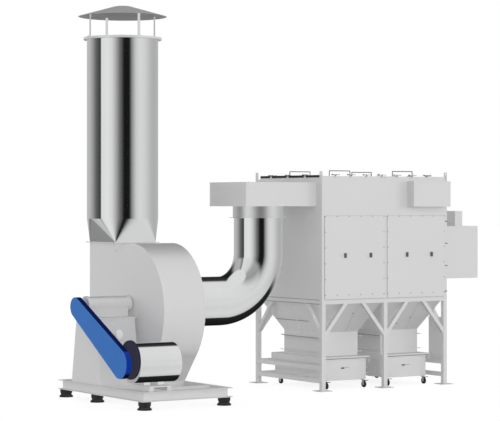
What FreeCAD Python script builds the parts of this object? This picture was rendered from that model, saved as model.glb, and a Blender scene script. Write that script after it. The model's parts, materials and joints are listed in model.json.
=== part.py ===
import FreeCAD, Part
import math
import os
from FreeCAD import Vector

# Cartridge dust collector with its fan, millimetres, Z up.
# The wide front of the collector faces -Y and the fan stands on its -X side.
# Sizes are laid out from the front left foot and moved to the origin at the end.

# Collector body and frame
body_width = 2860.0
body_depth = 2200.0
body_height = 2140.0
wall_sheet = 5.0
leg_size = 80.0
leg_wall = 5.0
foot_plate = 260.0
foot_plate_thick = 12.0
foot_hole_spacing = 190.0
foot_hole = 22.0
ring_top = 1650.0
ring_height = 80.0
brace_reach = 600.0
brace_size = 60.0
rail_height = 80.0
rail_depth = 50.0
upper_rail_top = 458.0
lower_rail_top = 222.0

# Doors on the front
door_edge_left = 57.0
door_edge_right = 64.0
door_gap = 69.0
door_height = 1510.0
door_lift = 10.0
door_pan = 12.0
door_sheet = 4.0
door_land = 70.0
latch_lift = 790.0
latch_height = 85.0
latch_width = 44.0
latch_proud = 28.0
left_door_latches = (477.0, 1085.0)
right_door_latches = (455.0, 1031.0)

# Roof
deck_sheet = 6.0
curb_height = 76.0
curb_inset = 18.0
curb_wall = 6.0
curb_rear_inset = 150.0
lid_gap = 60.0
lid_thick = 22.0
handle_length = 480.0
handle_height = 110.0
handle_rod = 16.0
handle_from_front = 450.0
handle_from_rear = 450.0
clamp_width = 60.0
clamp_depth = 34.0
clamp_height = 110.0
clamps_long_side = 7
clamps_short_side = 3
clamp_first_x = 310.0
clamp_last_x = 460.0
clamp_first_y = 560.0
clamp_last_y = 520.0
lug_width = 80.0
lug_height = 105.0
lug_thick = 12.0
lug_eye = 36.0

# Boxes fixed to the body
valve_box_from_right = 70.0
valve_box_width = 860.0
valve_box_depth = 200.0
valve_box_rise = 20.0
valve_box_height = 473.0
box_sheet = 4.0
wall_opening_margin = 60.0
plenum_length = 1510.0
plenum_front = 185.0
plenum_depth = 1222.0
plenum_drop = 12.0
plenum_height = 433.0
inlet_box_length = 1150.0
inlet_box_front = 500.0
inlet_box_depth = 1200.0
inlet_box_lift = 310.0
inlet_box_height = 1000.0
neck_from_body = 670.0
neck_width = 180.0
neck_from_front = 100.0
neck_depth = 500.0
neck_height = 290.0
cable_panel_front = 90.0
cable_panel_width = 440.0
cable_panel_thick = 30.0

# Dust bins on castors
bin_width = 920.0
bin_length = 1650.0
bin_front = 300.0
bin_bottom = 150.0
bin_height = 390.0
bin_cover_gap = 20.0
bin_sheet = 4.0
bin_rim = 12.0
bin_rim_height = 20.0
castor_inset_x = 35.0
castor_inset_front = 60.0
castor_inset_rear = 150.0
wheel_diameter = 120.0
wheel_width = 36.0
wheel_bore = 12.2
wheel_chamfer = 4.0
axle_clearance = 0.1
axle_end = 4.0
fork_sheet = 4.0
fork_width = 44.0
fork_clearance = 2.0
fork_trail = 46.0
castor_plate = 70.0
swivel_diameter = 58.0
swivel_height = 12.0
swivel_gap = 0.3

# Hoppers, spouts and bin covers
hopper_sheet = 4.0
spout_length_x = 860.0
spout_length_y = 1160.0
spout_height = 381.0
spout_flange_low = 14.0
spout_flange_mid = 290.0
spout_flange_out = 60.0
spout_flange_thick = 8.0
rib_bar = 8.0
rib_proud = 30.0
front_rib_offset = 150.0
level_rib_drop = 300.0
cover_neck = 60.0
cover_thick = 24.0
cover_out = 50.0
cover_skirt = 115.0
cover_skirt_sheet = 6.0

# Fan base frame on its isolators
base_front_reach = 2025.0
base_rear_reach = 955.0
base_past_scroll = 30.0
base_length = 1760.0
base_bottom = 140.0
base_height = 160.0
channel_flange = 65.0
channel_web = 8.0
channel_flange_thick = 10.0
isolator_radius = 120.0
isolator_inset = 110.0
isolator_middle = 1730.0
isolator_foot = 22.0
isolator_waist = 94.0
isolator_waist_low = 46.0
isolator_waist_high = 66.0
isolator_head = 106.0
isolator_head_low = 80.0

# Fan casing
shaft_y = 775.0
fan_distance = 2720.0
scroll_width = 820.0
scroll_plate = 8.0
scroll_wrapper_sheet = 6.0
scroll_lift = 27.7
scroll_steps = 24
tongue_radius = 14.0
scroll_radius_start = 1000.0
scroll_growth = 460.0
scroll_foot_plate = 10.0
scroll_foot_width = 120.0
scroll_foot_drop = 750.0
outlet_depth = 950.0
outlet_rise = 1045.0
outlet_flange_out = 53.0
outlet_flange_thick = 14.0
inlet_ring_out = 64.0

# Outlet transition, stack and rain cap
transition_height = 416.0
stack_diameter = 1277.0
stack_sheet = 5.0
stack_length = 3240.0
stack_ring_out = 61.5
stack_ring_thick = 40.0
cap_gap = 379.0
cap_rise = 186.0
cap_overhang = 153.5
cap_top_diameter = 270.0
cap_sheet = 5.0
cap_lip = 20.0
stay_width = 50.0
stay_thick = 8.0
stay_turn = 12.0

# Suction duct
duct_diameter = 880.0
duct_sheet = 4.0
duct_from_body = 872.0
duct_bend = 850.0
collar_out = 18.5
collar_wall = 12.0
collar_height = 212.0
collar_flange_out = 79.0
collar_flange_thick = 8.0

# Pedestal, bearings and belt drive
pedestal_gap = 100.0
pedestal_length = 760.0
pedestal_base = 1050.0
pedestal_head = 700.0
pedestal_plate = 12.0
pedestal_top_plate = 20.0
pedestal_top_over = 20.0
pedestal_hole = 170.0
pedestal_hole_drop = 292.0
pedestal_hole_aside = 40.0
bearing_diameter = 280.0
bearing_height = 210.0
bearing_over_left = 20.0
bearing_over_right = 60.0
bearing_plinth_width = 250.0
bearing_ring_out = 12.0
bearing_ring_length = 45.0
shaft_diameter = 90.0
shaft_room = 10.0
shaft_inside = 200.0
guard_gap = 100.0
guard_thick = 100.0
guard_top_radius = 142.0
guard_low_radius = 185.0
guard_low_drop = 65.0
motor_forward = 1645.0
motor_radius = 330.0
motor_length = 785.0
motor_shaft_diameter = 60.0
motor_disc_gap = 50.0
motor_disc_out = 10.0
motor_disc_thick = 30.0
motor_lift = 40.0
motor_foot_length = 120.0
motor_foot_width = 150.0
motor_foot_inset = 200.0
motor_base_height = 85.0
motor_base_plate = 20.0
motor_base_depth = 580.0
motor_base_inset = 185.0
motor_base_bar = 80.0

# Worked out places of the collector
wall_top = ring_top + body_height
centre_leg_x = (body_width - leg_size) / 2
ring_bottom = ring_top - ring_height
bay_width = centre_leg_x - leg_size
bay_centres = (leg_size + bay_width / 2, centre_leg_x + leg_size + bay_width / 2)
door_width = (body_width - door_edge_left - door_gap - door_edge_right) / 2
door_left_x = door_edge_left
door_right_x = door_left_x + door_width + door_gap
door_bottom = ring_top + door_lift
valve_box_x = body_width - valve_box_from_right - valve_box_width
valve_box_bottom = wall_top + valve_box_rise - valve_box_height
plenum_bottom = wall_top - plenum_drop - plenum_height
inlet_box_bottom = ring_top + inlet_box_lift
bin_top = bin_bottom + bin_height
cover_bottom = bin_top + bin_cover_gap
spout_bottom = cover_bottom + cover_thick + cover_neck
hopper_bottom = spout_bottom + spout_height
spout_middle_y = body_depth / 2
deck_top = wall_top + deck_sheet
curb_top = deck_top + curb_height

# Worked out places of the fan, the stack and the duct
scroll_right = -fan_distance
scroll_left = scroll_right - scroll_width
scroll_middle = (scroll_left + scroll_right) / 2
base_right = scroll_right + base_past_scroll
base_left = base_right - base_length
base_front = shaft_y - base_front_reach
base_rear = shaft_y + base_rear_reach
base_top = base_bottom + base_height
scroll_radius_end = scroll_radius_start + scroll_growth
outlet_rear = shaft_y + scroll_radius_end
outlet_front = outlet_rear - outlet_depth
outlet_middle_y = (outlet_rear + outlet_front) / 2
cut_off = math.degrees(math.acos((outlet_front - shaft_y) / scroll_radius_start))
scroll_sweep = 360.0 - cut_off
radius_below_shaft = scroll_radius_start + scroll_growth * (270.0 - cut_off) / scroll_sweep
shaft_z = base_top + scroll_lift + radius_below_shaft
outlet_top = shaft_z + outlet_rise
transition_top = outlet_top + outlet_flange_thick + transition_height
stack_top = transition_top + stack_length
cap_diameter = stack_diameter + 2 * cap_overhang
cap_rim = stack_top + cap_gap
cap_top = cap_rim + cap_rise
duct_x = -duct_from_body
collar_bottom = plenum_bottom - collar_height
collar_diameter = duct_diameter + 2 * collar_out

# Worked out places of the drive
pedestal_right = scroll_left - pedestal_gap
pedestal_left = pedestal_right - pedestal_length
pedestal_top = shaft_z - bearing_height
bearing_left = pedestal_left - bearing_over_left
bearing_right = pedestal_right + bearing_over_right
guard_right = bearing_left - guard_gap
guard_left = guard_right - guard_thick
motor_y = shaft_y - motor_forward
motor_left = guard_right + motor_disc_gap + motor_disc_thick
motor_right = motor_left + motor_length
motor_base_top = base_top + motor_base_height
motor_z = motor_base_top + motor_lift + motor_radius
guard_low_z = motor_z - guard_low_drop

pieces = {}


def box(x0, x1, y0, y1, z0, z1):
    return Part.makeBox(x1 - x0, y1 - y0, z1 - z0, Vector(x0, y0, z0))


def rod(start, direction, radius, length):
    return Part.makeCylinder(radius, length, Vector(*start), Vector(*direction))


def pipe(start, direction, radius, sheet, length):
    outer = rod(start, direction, radius, length)
    return outer.cut(rod(start, direction, radius - sheet, length))


def ring_box(x0, x1, y0, y1, z0, z1, sheet):
    outer = box(x0, x1, y0, y1, z0, z1)
    return outer.cut(box(x0 + sheet, x1 - sheet, y0 + sheet, y1 - sheet, z0, z1))


def fuse(shapes):
    first = shapes[0]
    return first.multiFuse(shapes[1:]).removeSplitter() if len(shapes) > 1 else first


def prism(points, direction):
    wire = Part.makePolygon([Vector(*p) for p in points] + [Vector(*points[0])])
    return Part.Face(wire).extrude(Vector(*direction))


def rectangle_wire(cx, cy, wide, deep, z):
    corners = [(-1, -1), (1, -1), (1, 1), (-1, 1)]
    points = [Vector(cx + i * wide / 2, cy + j * deep / 2, z) for i, j in corners]
    return Part.makePolygon(points + [points[0]])


def keep(name, shapes):
    pieces[name] = shapes if isinstance(shapes, list) else [shapes]


def build_frame():
    legs = []
    for x in (0.0, centre_leg_x, body_width - leg_size):
        for y in (0.0, body_depth - leg_size):
            post = ring_box(x, x + leg_size, y, y + leg_size, foot_plate_thick, ring_bottom, leg_wall)
            cx = x + leg_size / 2
            cy = y + leg_size / 2
            half = foot_plate / 2
            plate = box(cx - half, cx + half, cy - half, cy + half, 0, foot_plate_thick)
            for i in (-1, 1):
                for j in (-1, 1):
                    spot = (cx + i * foot_hole_spacing / 2, cy + j * foot_hole_spacing / 2, 0)
                    plate = plate.cut(rod(spot, (0, 0, 1), foot_hole / 2, foot_plate_thick))
            legs.append(plate.fuse(post))
    keep("frame_legs", legs)

    inner_rear = body_depth - leg_size
    beams = [
        box(0, body_width, 0, leg_size, ring_bottom, ring_top),
        box(0, body_width, inner_rear, body_depth, ring_bottom, ring_top),
    ]
    for x in (0.0, centre_leg_x, body_width - leg_size):
        beams.append(box(x, x + leg_size, leg_size, inner_rear, ring_bottom, ring_top))
    keep("ring_beams", beams)

    braces = []
    across = brace_size * math.sqrt(2)
    low = ring_bottom - brace_reach
    for y in (0.0, body_depth - brace_size):
        y += (leg_size - brace_size) / 2 * (1 if y == 0 else -1)
        for corner, way in bay_corners():
            points = [
                (corner, y, low),
                (corner + way * brace_reach, y, ring_bottom),
                (corner + way * (brace_reach - across), y, ring_bottom),
                (corner, y, low + across),
            ]
            braces.append(prism(points, (0, brace_size, 0)))
    for x in (0.0, body_width - brace_size):
        x += (leg_size - brace_size) / 2 * (1 if x == 0 else -1)
        for corner, way in ((leg_size, 1), (body_depth - leg_size, -1)):
            points = [
                (x, corner, low),
                (x, corner + way * brace_reach, ring_bottom),
                (x, corner + way * (brace_reach - across), ring_bottom),
                (x, corner, low + across),
            ]
            braces.append(prism(points, (brace_size, 0, 0)))
    keep("knee_braces", braces)

    rails = []
    for top in (upper_rail_top, lower_rail_top):
        low = top - rail_height
        for x in (0.0, body_width - rail_depth):
            rails.append(box(x, x + rail_depth, leg_size, inner_rear, low, top))
        for x0, x1 in ((leg_size, centre_leg_x), (centre_leg_x + leg_size, body_width - leg_size)):
            rails.append(box(x0, x1, body_depth - rail_depth, body_depth, low, top))
    keep("floor_rails", rails)


def bay_corners():
    return (
        (leg_size, 1),
        (centre_leg_x, -1),
        (centre_leg_x + leg_size, 1),
        (body_width - leg_size, -1),
    )


def build_walls():
    low = ring_top
    front = box(0, body_width, 0, wall_sheet, low, wall_top)
    for x in (door_left_x, door_right_x):
        front = front.cut(box(x + door_land, x + door_width - door_land, 0, wall_sheet,
                              door_bottom + door_land, door_bottom + door_height - door_land))
    keep("front_wall", front)
    keep("rear_wall", box(0, body_width, body_depth - wall_sheet, body_depth, low, wall_top))
    left = box(0, wall_sheet, wall_sheet, body_depth - wall_sheet, low, wall_top)
    m = wall_opening_margin
    left = left.cut(box(0, wall_sheet, plenum_front + m, plenum_front + plenum_depth - m,
                        plenum_bottom + m, plenum_bottom + plenum_height - m))
    keep("left_wall", left)
    right = box(body_width - wall_sheet, body_width, wall_sheet, body_depth - wall_sheet, low, wall_top)
    right = right.cut(box(body_width - wall_sheet, body_width,
                          inlet_box_front + m, inlet_box_front + inlet_box_depth - m,
                          inlet_box_bottom + m, inlet_box_bottom + inlet_box_height - m))
    keep("right_wall", right)


def build_doors():
    latches = []
    doors = (
        ("door_left", door_left_x, left_door_latches),
        ("door_right", door_right_x, right_door_latches),
    )
    middle = door_bottom + latch_lift
    for name, x, places in doors:
        pan = box(x, x + door_width, -door_pan, 0, door_bottom, door_bottom + door_height)
        pan = pan.cut(box(x + door_sheet, x + door_width - door_sheet, -door_pan + door_sheet, 0,
                          door_bottom + door_sheet, door_bottom + door_height - door_sheet))
        keep(name, pan)
        for place in places:
            cx = x + place
            face = -door_pan
            latches.append(box(cx - latch_width / 2, cx + latch_width / 2, face - latch_proud, face,
                               middle - latch_height / 2, middle + latch_height / 2))
    keep("door_latches", latches)


def build_roof():
    middle = body_width / 2
    halves = (
        (curb_inset, middle - lid_gap / 2),
        (middle + lid_gap / 2, body_width - curb_inset),
    )
    curbs = []
    lids = []
    handles = []
    rear = body_depth - curb_rear_inset
    for x0, x1 in halves:
        curbs.append(ring_box(x0, x1, curb_inset, rear, deck_top, curb_top, curb_wall))
        for x in (x0, x1 - curb_wall):
            corners = [(x, rear, deck_top), (x, body_depth - curb_inset, deck_top), (x, rear, curb_top)]
            curbs.append(prism(corners, (curb_wall, 0, 0)))
        lids.append(box(x0, x1, curb_inset, rear, curb_top, curb_top + lid_thick))
        for y in (handle_from_front, body_depth - handle_from_rear):
            cx = (x0 + x1) / 2
            handles.append(bow_handle(cx, y, curb_top + lid_thick))
    deck = box(0, body_width, 0, body_depth, wall_top, deck_top)
    keep("roof_deck", fuse([deck] + curbs))
    keep("roof_lids", lids)
    keep("lid_handles", handles)

    clamps = []
    low = deck_top
    for index in range(clamps_long_side):
        cx = clamp_first_x + index * (body_width - clamp_first_x - clamp_last_x) / (clamps_long_side - 1)
        for y in (curb_inset - clamp_depth, rear):
            clamps.append(box(cx - clamp_width / 2, cx + clamp_width / 2, y, y + clamp_depth,
                              low, low + clamp_height))
    for index in range(clamps_short_side):
        cy = clamp_first_y + index * (body_depth - clamp_first_y - clamp_last_y) / (clamps_short_side - 1)
        for x in (curb_inset - clamp_depth, body_width - curb_inset):
            clamps.append(box(x, x + clamp_depth, cy - clamp_width / 2, cy + clamp_width / 2,
                              low, low + clamp_height))
    above = box(0, body_width, 0, body_depth, low, low + clamp_height)
    clamps = [clamp.common(above) for clamp in clamps]
    keep("lid_clamps", clamps)

    lugs = []
    for x in (0.0, body_width - lug_thick):
        for y in (0.0, body_depth - lug_width):
            plate = box(x, x + lug_thick, y, y + lug_width, deck_top, curb_top + lug_height)
            eye = rod((x, y + lug_width / 2, curb_top + lug_height - lug_eye), (1, 0, 0), lug_eye / 2, lug_thick)
            lugs.append(plate.cut(eye))
    keep("lifting_lugs", lugs)


def bow_handle(cx, y, z):
    half = handle_length / 2
    radius = handle_rod / 2
    top = z + handle_height - radius
    left = Vector(cx - half + radius, y, z)
    left_top = Vector(cx - half + radius, y, top)
    right_top = Vector(cx + half - radius, y, top)
    right = Vector(cx + half - radius, y, z)
    solids = [
        Part.makeCylinder(radius, top - z, left),
        Part.makeCylinder(radius, top - z, right),
        Part.makeCylinder(radius, handle_length - 2 * radius, left_top, Vector(1, 0, 0)),
        Part.makeSphere(radius, left_top),
        Part.makeSphere(radius, right_top),
    ]
    return fuse(solids)


def build_side_boxes():
    keep("valve_box", box(valve_box_x, valve_box_x + valve_box_width, -valve_box_depth, 0,
                          valve_box_bottom, valve_box_bottom + valve_box_height))
    rear = plenum_front + plenum_depth
    top = plenum_bottom + plenum_height
    shell = box(-plenum_length, 0, plenum_front, rear, plenum_bottom, top)
    shell = shell.cut(box(-plenum_length + box_sheet, 0, plenum_front + box_sheet, rear - box_sheet,
                          plenum_bottom + box_sheet, top - box_sheet))
    shell = shell.cut(rod((duct_x, shaft_y, plenum_bottom), (0, 0, 1), collar_diameter / 2 - duct_sheet,
                          box_sheet))
    keep("outlet_plenum", shell)

    x1 = body_width + inlet_box_length
    y1 = inlet_box_front + inlet_box_depth
    z1 = inlet_box_bottom + inlet_box_height
    shell = box(body_width, x1, inlet_box_front, y1, inlet_box_bottom, z1)
    shell = shell.cut(box(body_width, x1 - box_sheet, inlet_box_front + box_sheet, y1 - box_sheet,
                          inlet_box_bottom + box_sheet, z1 - box_sheet))
    nx = body_width + neck_from_body
    neck_front = inlet_box_front + neck_from_front
    hole = box(nx + box_sheet, nx + neck_width - box_sheet, neck_front + box_sheet,
               neck_front + neck_depth - box_sheet, z1 - box_sheet, z1)
    keep("inlet_box", shell.cut(hole))
    keep("inlet_neck", ring_box(nx, nx + neck_width, neck_front, neck_front + neck_depth,
                                z1, z1 + neck_height, box_sheet))
    keep("cable_panel", box(body_width, body_width + cable_panel_thick, cable_panel_front,
                            cable_panel_front + cable_panel_width, upper_rail_top - rail_height, ring_top))


def build_hoppers():
    hoppers = []
    spouts = []
    covers = []
    cover_front = bin_front - cover_out
    for cx in bay_centres:
        wide = bay_width
        deep = body_depth - 2 * leg_size
        outer = Part.makeLoft([
            rectangle_wire(cx, spout_middle_y, wide, deep, ring_bottom),
            rectangle_wire(cx, spout_middle_y, spout_length_x, spout_length_y, hopper_bottom),
        ], True, True)
        s = 2 * hopper_sheet
        inner = Part.makeLoft([
            rectangle_wire(cx, spout_middle_y, wide - s, deep - s, ring_bottom),
            rectangle_wire(cx, spout_middle_y, spout_length_x - s, spout_length_y - s, hopper_bottom),
        ], True, True)
        collar = ring_box(cx - wide / 2, cx + wide / 2, leg_size, leg_size + deep,
                          ring_bottom, ring_top, hopper_sheet)
        ribs = hopper_ribs(outer, cx, wide, deep)
        hoppers.append(fuse([outer.cut(inner), collar] + ribs))

        hx = spout_length_x / 2
        hy = spout_length_y / 2
        duct = ring_box(cx - hx, cx + hx, spout_middle_y - hy, spout_middle_y + hy,
                        spout_bottom, hopper_bottom, hopper_sheet)
        parts = [duct]
        for rise in (spout_flange_low, spout_flange_mid):
            z = spout_bottom + rise
            o = spout_flange_out
            for x in (cx - hx - o, cx + hx):
                parts.append(box(x, x + o, spout_middle_y - hy - o, spout_middle_y + hy + o,
                                 z, z + spout_flange_thick))
        spouts.append(fuse(parts))

        x0 = cx - bin_width / 2 - cover_out
        x1 = cx + bin_width / 2 + cover_out
        y0 = cover_front
        y1 = bin_front + bin_length + cover_out
        z1 = cover_bottom + cover_thick
        plate = box(x0, x1, y0, y1, cover_bottom, z1)
        stub = ring_box(cx - hx, cx + hx, spout_middle_y - hy, spout_middle_y + hy,
                        z1, spout_bottom, hopper_sheet)
        hole = box(cx - hx + hopper_sheet, cx + hx - hopper_sheet, spout_middle_y - hy + hopper_sheet,
                   spout_middle_y + hy - hopper_sheet, cover_bottom, z1)
        skirts = [box(x0, x0 + cover_skirt_sheet, y0, y1, z1 - cover_skirt, cover_bottom),
                  box(x1 - cover_skirt_sheet, x1, y0, y1, z1 - cover_skirt, cover_bottom)]
        covers.append(fuse([plate.cut(hole), stub] + skirts))
    keep("hoppers", hoppers)
    keep("hopper_spouts", spouts)
    keep("bin_covers", covers)


def hopper_ribs(outer, cx, wide, deep):
    # Flat bars on edge that follow the slope: one down each side, one all round.
    r = 2 * rib_proud
    around = Part.makeLoft([
        rectangle_wire(cx, spout_middle_y, wide, deep, ring_bottom),
        rectangle_wire(cx, spout_middle_y, spout_length_x + r, spout_length_y + r, hopper_bottom),
    ], True, True)
    half = rib_bar / 2
    ribs = []
    x = cx + front_rib_offset
    bars = [
        box(x - half, x + half, 0, body_depth, hopper_bottom, ring_bottom),
        box(cx - wide, cx + wide, spout_middle_y - half, spout_middle_y + half, hopper_bottom, ring_bottom),
    ]
    z = ring_bottom - level_rib_drop
    bars.append(box(cx - wide, cx + wide, 0, body_depth, z - half, z + half))
    for bar in bars:
        ribs.append(around.common(bar).cut(outer))
    return ribs


def build_bins():
    for side, cx in zip(("left", "right"), bay_centres):
        x0 = cx - bin_width / 2
        x1 = cx + bin_width / 2
        y0 = bin_front
        y1 = bin_front + bin_length
        shell = box(x0, x1, y0, y1, bin_bottom, bin_top)
        shell = shell.cut(box(x0 + bin_sheet, x1 - bin_sheet, y0 + bin_sheet, y1 - bin_sheet,
                              bin_bottom + bin_sheet, bin_top))
        rim = ring_box(x0 - bin_rim, x1 + bin_rim, y0 - bin_rim, y1 + bin_rim,
                       bin_top - bin_rim_height, bin_top, bin_rim)
        bin_parts = [shell, rim]
        for way, x in ((-1, x0 + castor_inset_x), (1, x1 - castor_inset_x)):
            rear = y1 - castor_inset_rear
            bin_parts.append(fixed_fork(x, rear))
            label = "left" if way < 0 else "right"
            keep("bin_%s_wheel_rear_%s" % (side, label), wheel(x, rear))
            front = y0 + castor_inset_front
            half = castor_plate / 2
            bin_parts.append(box(x - half, x + half, front - half, front + half,
                                 bin_bottom - fork_sheet, bin_bottom))
            keep("bin_%s_castor_%s" % (side, label), swivel_fork(x, front))
            keep("bin_%s_wheel_front_%s" % (side, label), wheel(x, front - fork_trail))
        keep("dust_bin_%s" % side, fuse(bin_parts))


def wheel(x, y):
    half = wheel_width / 2
    radius = wheel_diameter / 2
    tyre = rod((x - half, y, radius), (1, 0, 0), radius, wheel_width)
    tyre = tyre.makeChamfer(wheel_chamfer, [e for e in tyre.Edges if e.Curve.TypeId == "Part::GeomCircle"])
    return tyre.cut(rod((x - half, y, radius), (1, 0, 0), wheel_bore / 2, wheel_width))


def fork_sides(x, y, top):
    inner = wheel_width / 2 + fork_clearance
    half = fork_width / 2
    axle = wheel_diameter / 2
    sides = []
    for way in (-1, 1):
        a = x + way * inner
        b = a + way * fork_sheet
        low, high = min(a, b), max(a, b)
        sides.append(box(low, high, y - half, y + half, axle, top))
        sides.append(rod((low, y, axle), (1, 0, 0), half, fork_sheet))
    length = 2 * (inner + fork_sheet + axle_end)
    sides.append(rod((x - length / 2, y, axle), (1, 0, 0), wheel_bore / 2 - axle_clearance, length))
    return sides


def fixed_fork(x, y):
    top = bin_bottom - fork_sheet
    inner = wheel_width / 2 + fork_clearance + fork_sheet
    half = fork_width / 2
    plate = box(x - castor_plate / 2, x + castor_plate / 2, y - castor_plate / 2, y + castor_plate / 2,
                top, bin_bottom)
    bridge = box(x - inner, x + inner, y - half, y + half, top - fork_sheet, top)
    return fuse(fork_sides(x, y, top) + [plate, bridge])


def swivel_fork(x, y):
    head = bin_bottom - fork_sheet - swivel_height
    y_axle = y - fork_trail
    inner = wheel_width / 2 + fork_clearance + fork_sheet
    bridge = box(x - inner, x + inner, y_axle - fork_width / 2, y + fork_width / 2, head - fork_sheet, head)
    drum = rod((x, y, head), (0, 0, 1), swivel_diameter / 2, swivel_height - swivel_gap)
    return fuse(fork_sides(x, y_axle, head) + [bridge, drum])


def build_duct():
    radius = duct_diameter / 2
    path_end = collar_bottom
    shell = []
    for r in (radius, radius - duct_sheet):
        bend_z = shaft_z + duct_bend
        vertical = rod((duct_x, shaft_y, bend_z), (0, 0, 1), r, path_end - bend_z)
        bend = Part.makeTorus(duct_bend, r, Vector(duct_x - duct_bend, shaft_y, bend_z), Vector(0, 1, 0))
        past = 2 * r
        quarter = box(duct_x - duct_bend, duct_x + past, shaft_y - past, shaft_y + past,
                      shaft_z - past, bend_z)
        bend = bend.common(quarter)
        start = scroll_right + scroll_plate
        level = rod((start, shaft_y, shaft_z), (1, 0, 0), r, duct_x - duct_bend - start)
        shell.append(fuse([vertical, bend, level]))
    keep("suction_elbow", shell[0].cut(shell[1]))

    height = plenum_bottom - collar_bottom
    collar = pipe((duct_x, shaft_y, collar_bottom), (0, 0, 1), collar_diameter / 2, collar_wall, height)
    flange = pipe((duct_x, shaft_y, collar_bottom), (0, 0, 1), radius + collar_flange_out,
                  collar_flange_out + duct_sheet, collar_flange_thick)
    keep("plenum_collar", collar.fuse(flange))


def spiral_points(extra):
    points = []
    for index in range(scroll_steps + 1):
        turn = scroll_sweep * index / scroll_steps
        radius = scroll_radius_start + scroll_growth * turn / scroll_sweep
        angle = math.radians(cut_off + turn)
        points.append(Vector(0, shaft_y + (radius + extra) * math.cos(angle),
                             shaft_z + (radius + extra) * math.sin(angle)))
    return points


def scroll_face(x, extra=0.0):
    points = [Vector(x, p.y, p.z) for p in spiral_points(extra)]
    curve = Part.BSplineCurve()
    curve.interpolate(points)
    rear = outlet_rear + extra
    front = outlet_front - extra
    first = points[0]
    last = points[-1]
    edges = [
        curve.toShape(),
        Part.makeLine(last, Vector(x, rear, outlet_top)),
        Part.makeLine(Vector(x, rear, outlet_top), Vector(x, front, outlet_top)),
    ]
    edges.append(Part.makeLine(Vector(x, front, outlet_top), first))
    return Part.Face(Part.Wire(edges))


def build_scroll():
    drive = scroll_face(scroll_left).extrude(Vector(scroll_plate, 0, 0))
    room = shaft_diameter / 2 + shaft_room
    drive = drive.cut(rod((scroll_left, shaft_y, shaft_z), (1, 0, 0), room, scroll_plate))
    keep("scroll_drive_side", drive)
    suction = scroll_face(scroll_right - scroll_plate).extrude(Vector(scroll_plate, 0, 0))
    suction = suction.cut(rod((scroll_right - scroll_plate, shaft_y, shaft_z), (1, 0, 0),
                              duct_diameter / 2 - duct_sheet, scroll_plate))
    keep("scroll_inlet_side", suction)
    inner = scroll_left + scroll_plate
    length = scroll_width - 2 * scroll_plate
    outer = scroll_face(inner).extrude(Vector(length, 0, 0))
    core = scroll_face(inner, -scroll_wrapper_sheet).extrude(Vector(length, 0, 0))
    tongue_at = spiral_points(0.0)[0]
    tongue = rod((inner, tongue_at.y, tongue_at.z), (1, 0, 0), tongue_radius, length)
    neck_wall = box(inner, inner + length, outlet_front, outlet_front + scroll_wrapper_sheet,
                    tongue_at.z, outlet_top)
    keep("scroll_wrapper", fuse([outer.cut(core), tongue, neck_wall]))
    ring = pipe((scroll_right, shaft_y, shaft_z), (1, 0, 0), duct_diameter / 2 + inlet_ring_out,
                inlet_ring_out + duct_sheet, scroll_plate)
    keep("inlet_ring", ring)

    feet = []
    for x in (scroll_left - scroll_foot_plate, scroll_right):
        for y in cross_channel_places()[2:]:
            y += channel_flange / 2
            feet.append(box(x, x + scroll_foot_plate, y - scroll_foot_width / 2, y + scroll_foot_width / 2,
                            base_top, shaft_z - scroll_foot_drop))
    keep("scroll_feet", feet)


def build_stack():
    o = outlet_flange_out
    z = outlet_top
    flange = ring_box(scroll_left - o, scroll_right + o, outlet_front - o, outlet_rear + o,
                      z, z + outlet_flange_thick, o + scroll_plate)
    keep("outlet_flange", flange)
    base = z + outlet_flange_thick
    shells = []
    for sheet in (0.0, stack_sheet):
        lower = rectangle_wire(scroll_middle, outlet_middle_y, scroll_width - 2 * sheet,
                               outlet_depth - 2 * sheet, base)
        circle = Part.Circle(Vector(scroll_middle, outlet_middle_y, transition_top), Vector(0, 0, 1),
                             stack_diameter / 2 - sheet)
        shells.append(square_to_round(lower, circle))
    keep("outlet_transition", shells[0].cut(shells[1]))
    place = (scroll_middle, outlet_middle_y, transition_top)
    keep("stack_pipe", pipe(place, (0, 0, 1), stack_diameter / 2, stack_sheet, stack_top - transition_top))
    place = (scroll_middle, outlet_middle_y, stack_top - stack_ring_thick)
    ring = pipe(place, (0, 0, 1), stack_diameter / 2 + stack_ring_out, stack_ring_out, stack_ring_thick)
    keep("stack_ring", ring)

    rise = cap_rise
    center = Vector(scroll_middle, outlet_middle_y, cap_rim)
    cone = Part.makeCone(cap_diameter / 2, cap_top_diameter / 2, rise, center)
    hollow = Part.makeCone(cap_diameter / 2 - cap_lip, cap_top_diameter / 2 - cap_sheet,
                           rise - cap_sheet, center)
    keep("rain_cap", cone.cut(hollow))
    stays = []
    inside = stack_diameter / 2
    for index in range(4):
        ends = (inside, inside + stay_thick, -stay_width / 2, stay_width / 2)
        upright = box(*ends, stack_top, cap_rim)
        tip = box(*ends, cap_rim, cap_top)
        for part in (upright, tip):
            part.rotate(Vector(0, 0, 0), Vector(0, 0, 1), stay_turn + 90 * index)
            part.translate(Vector(scroll_middle, outlet_middle_y, 0))
        stays.append(upright.fuse(tip.common(hollow)).removeSplitter())
    keep("cap_stays", stays)


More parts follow.
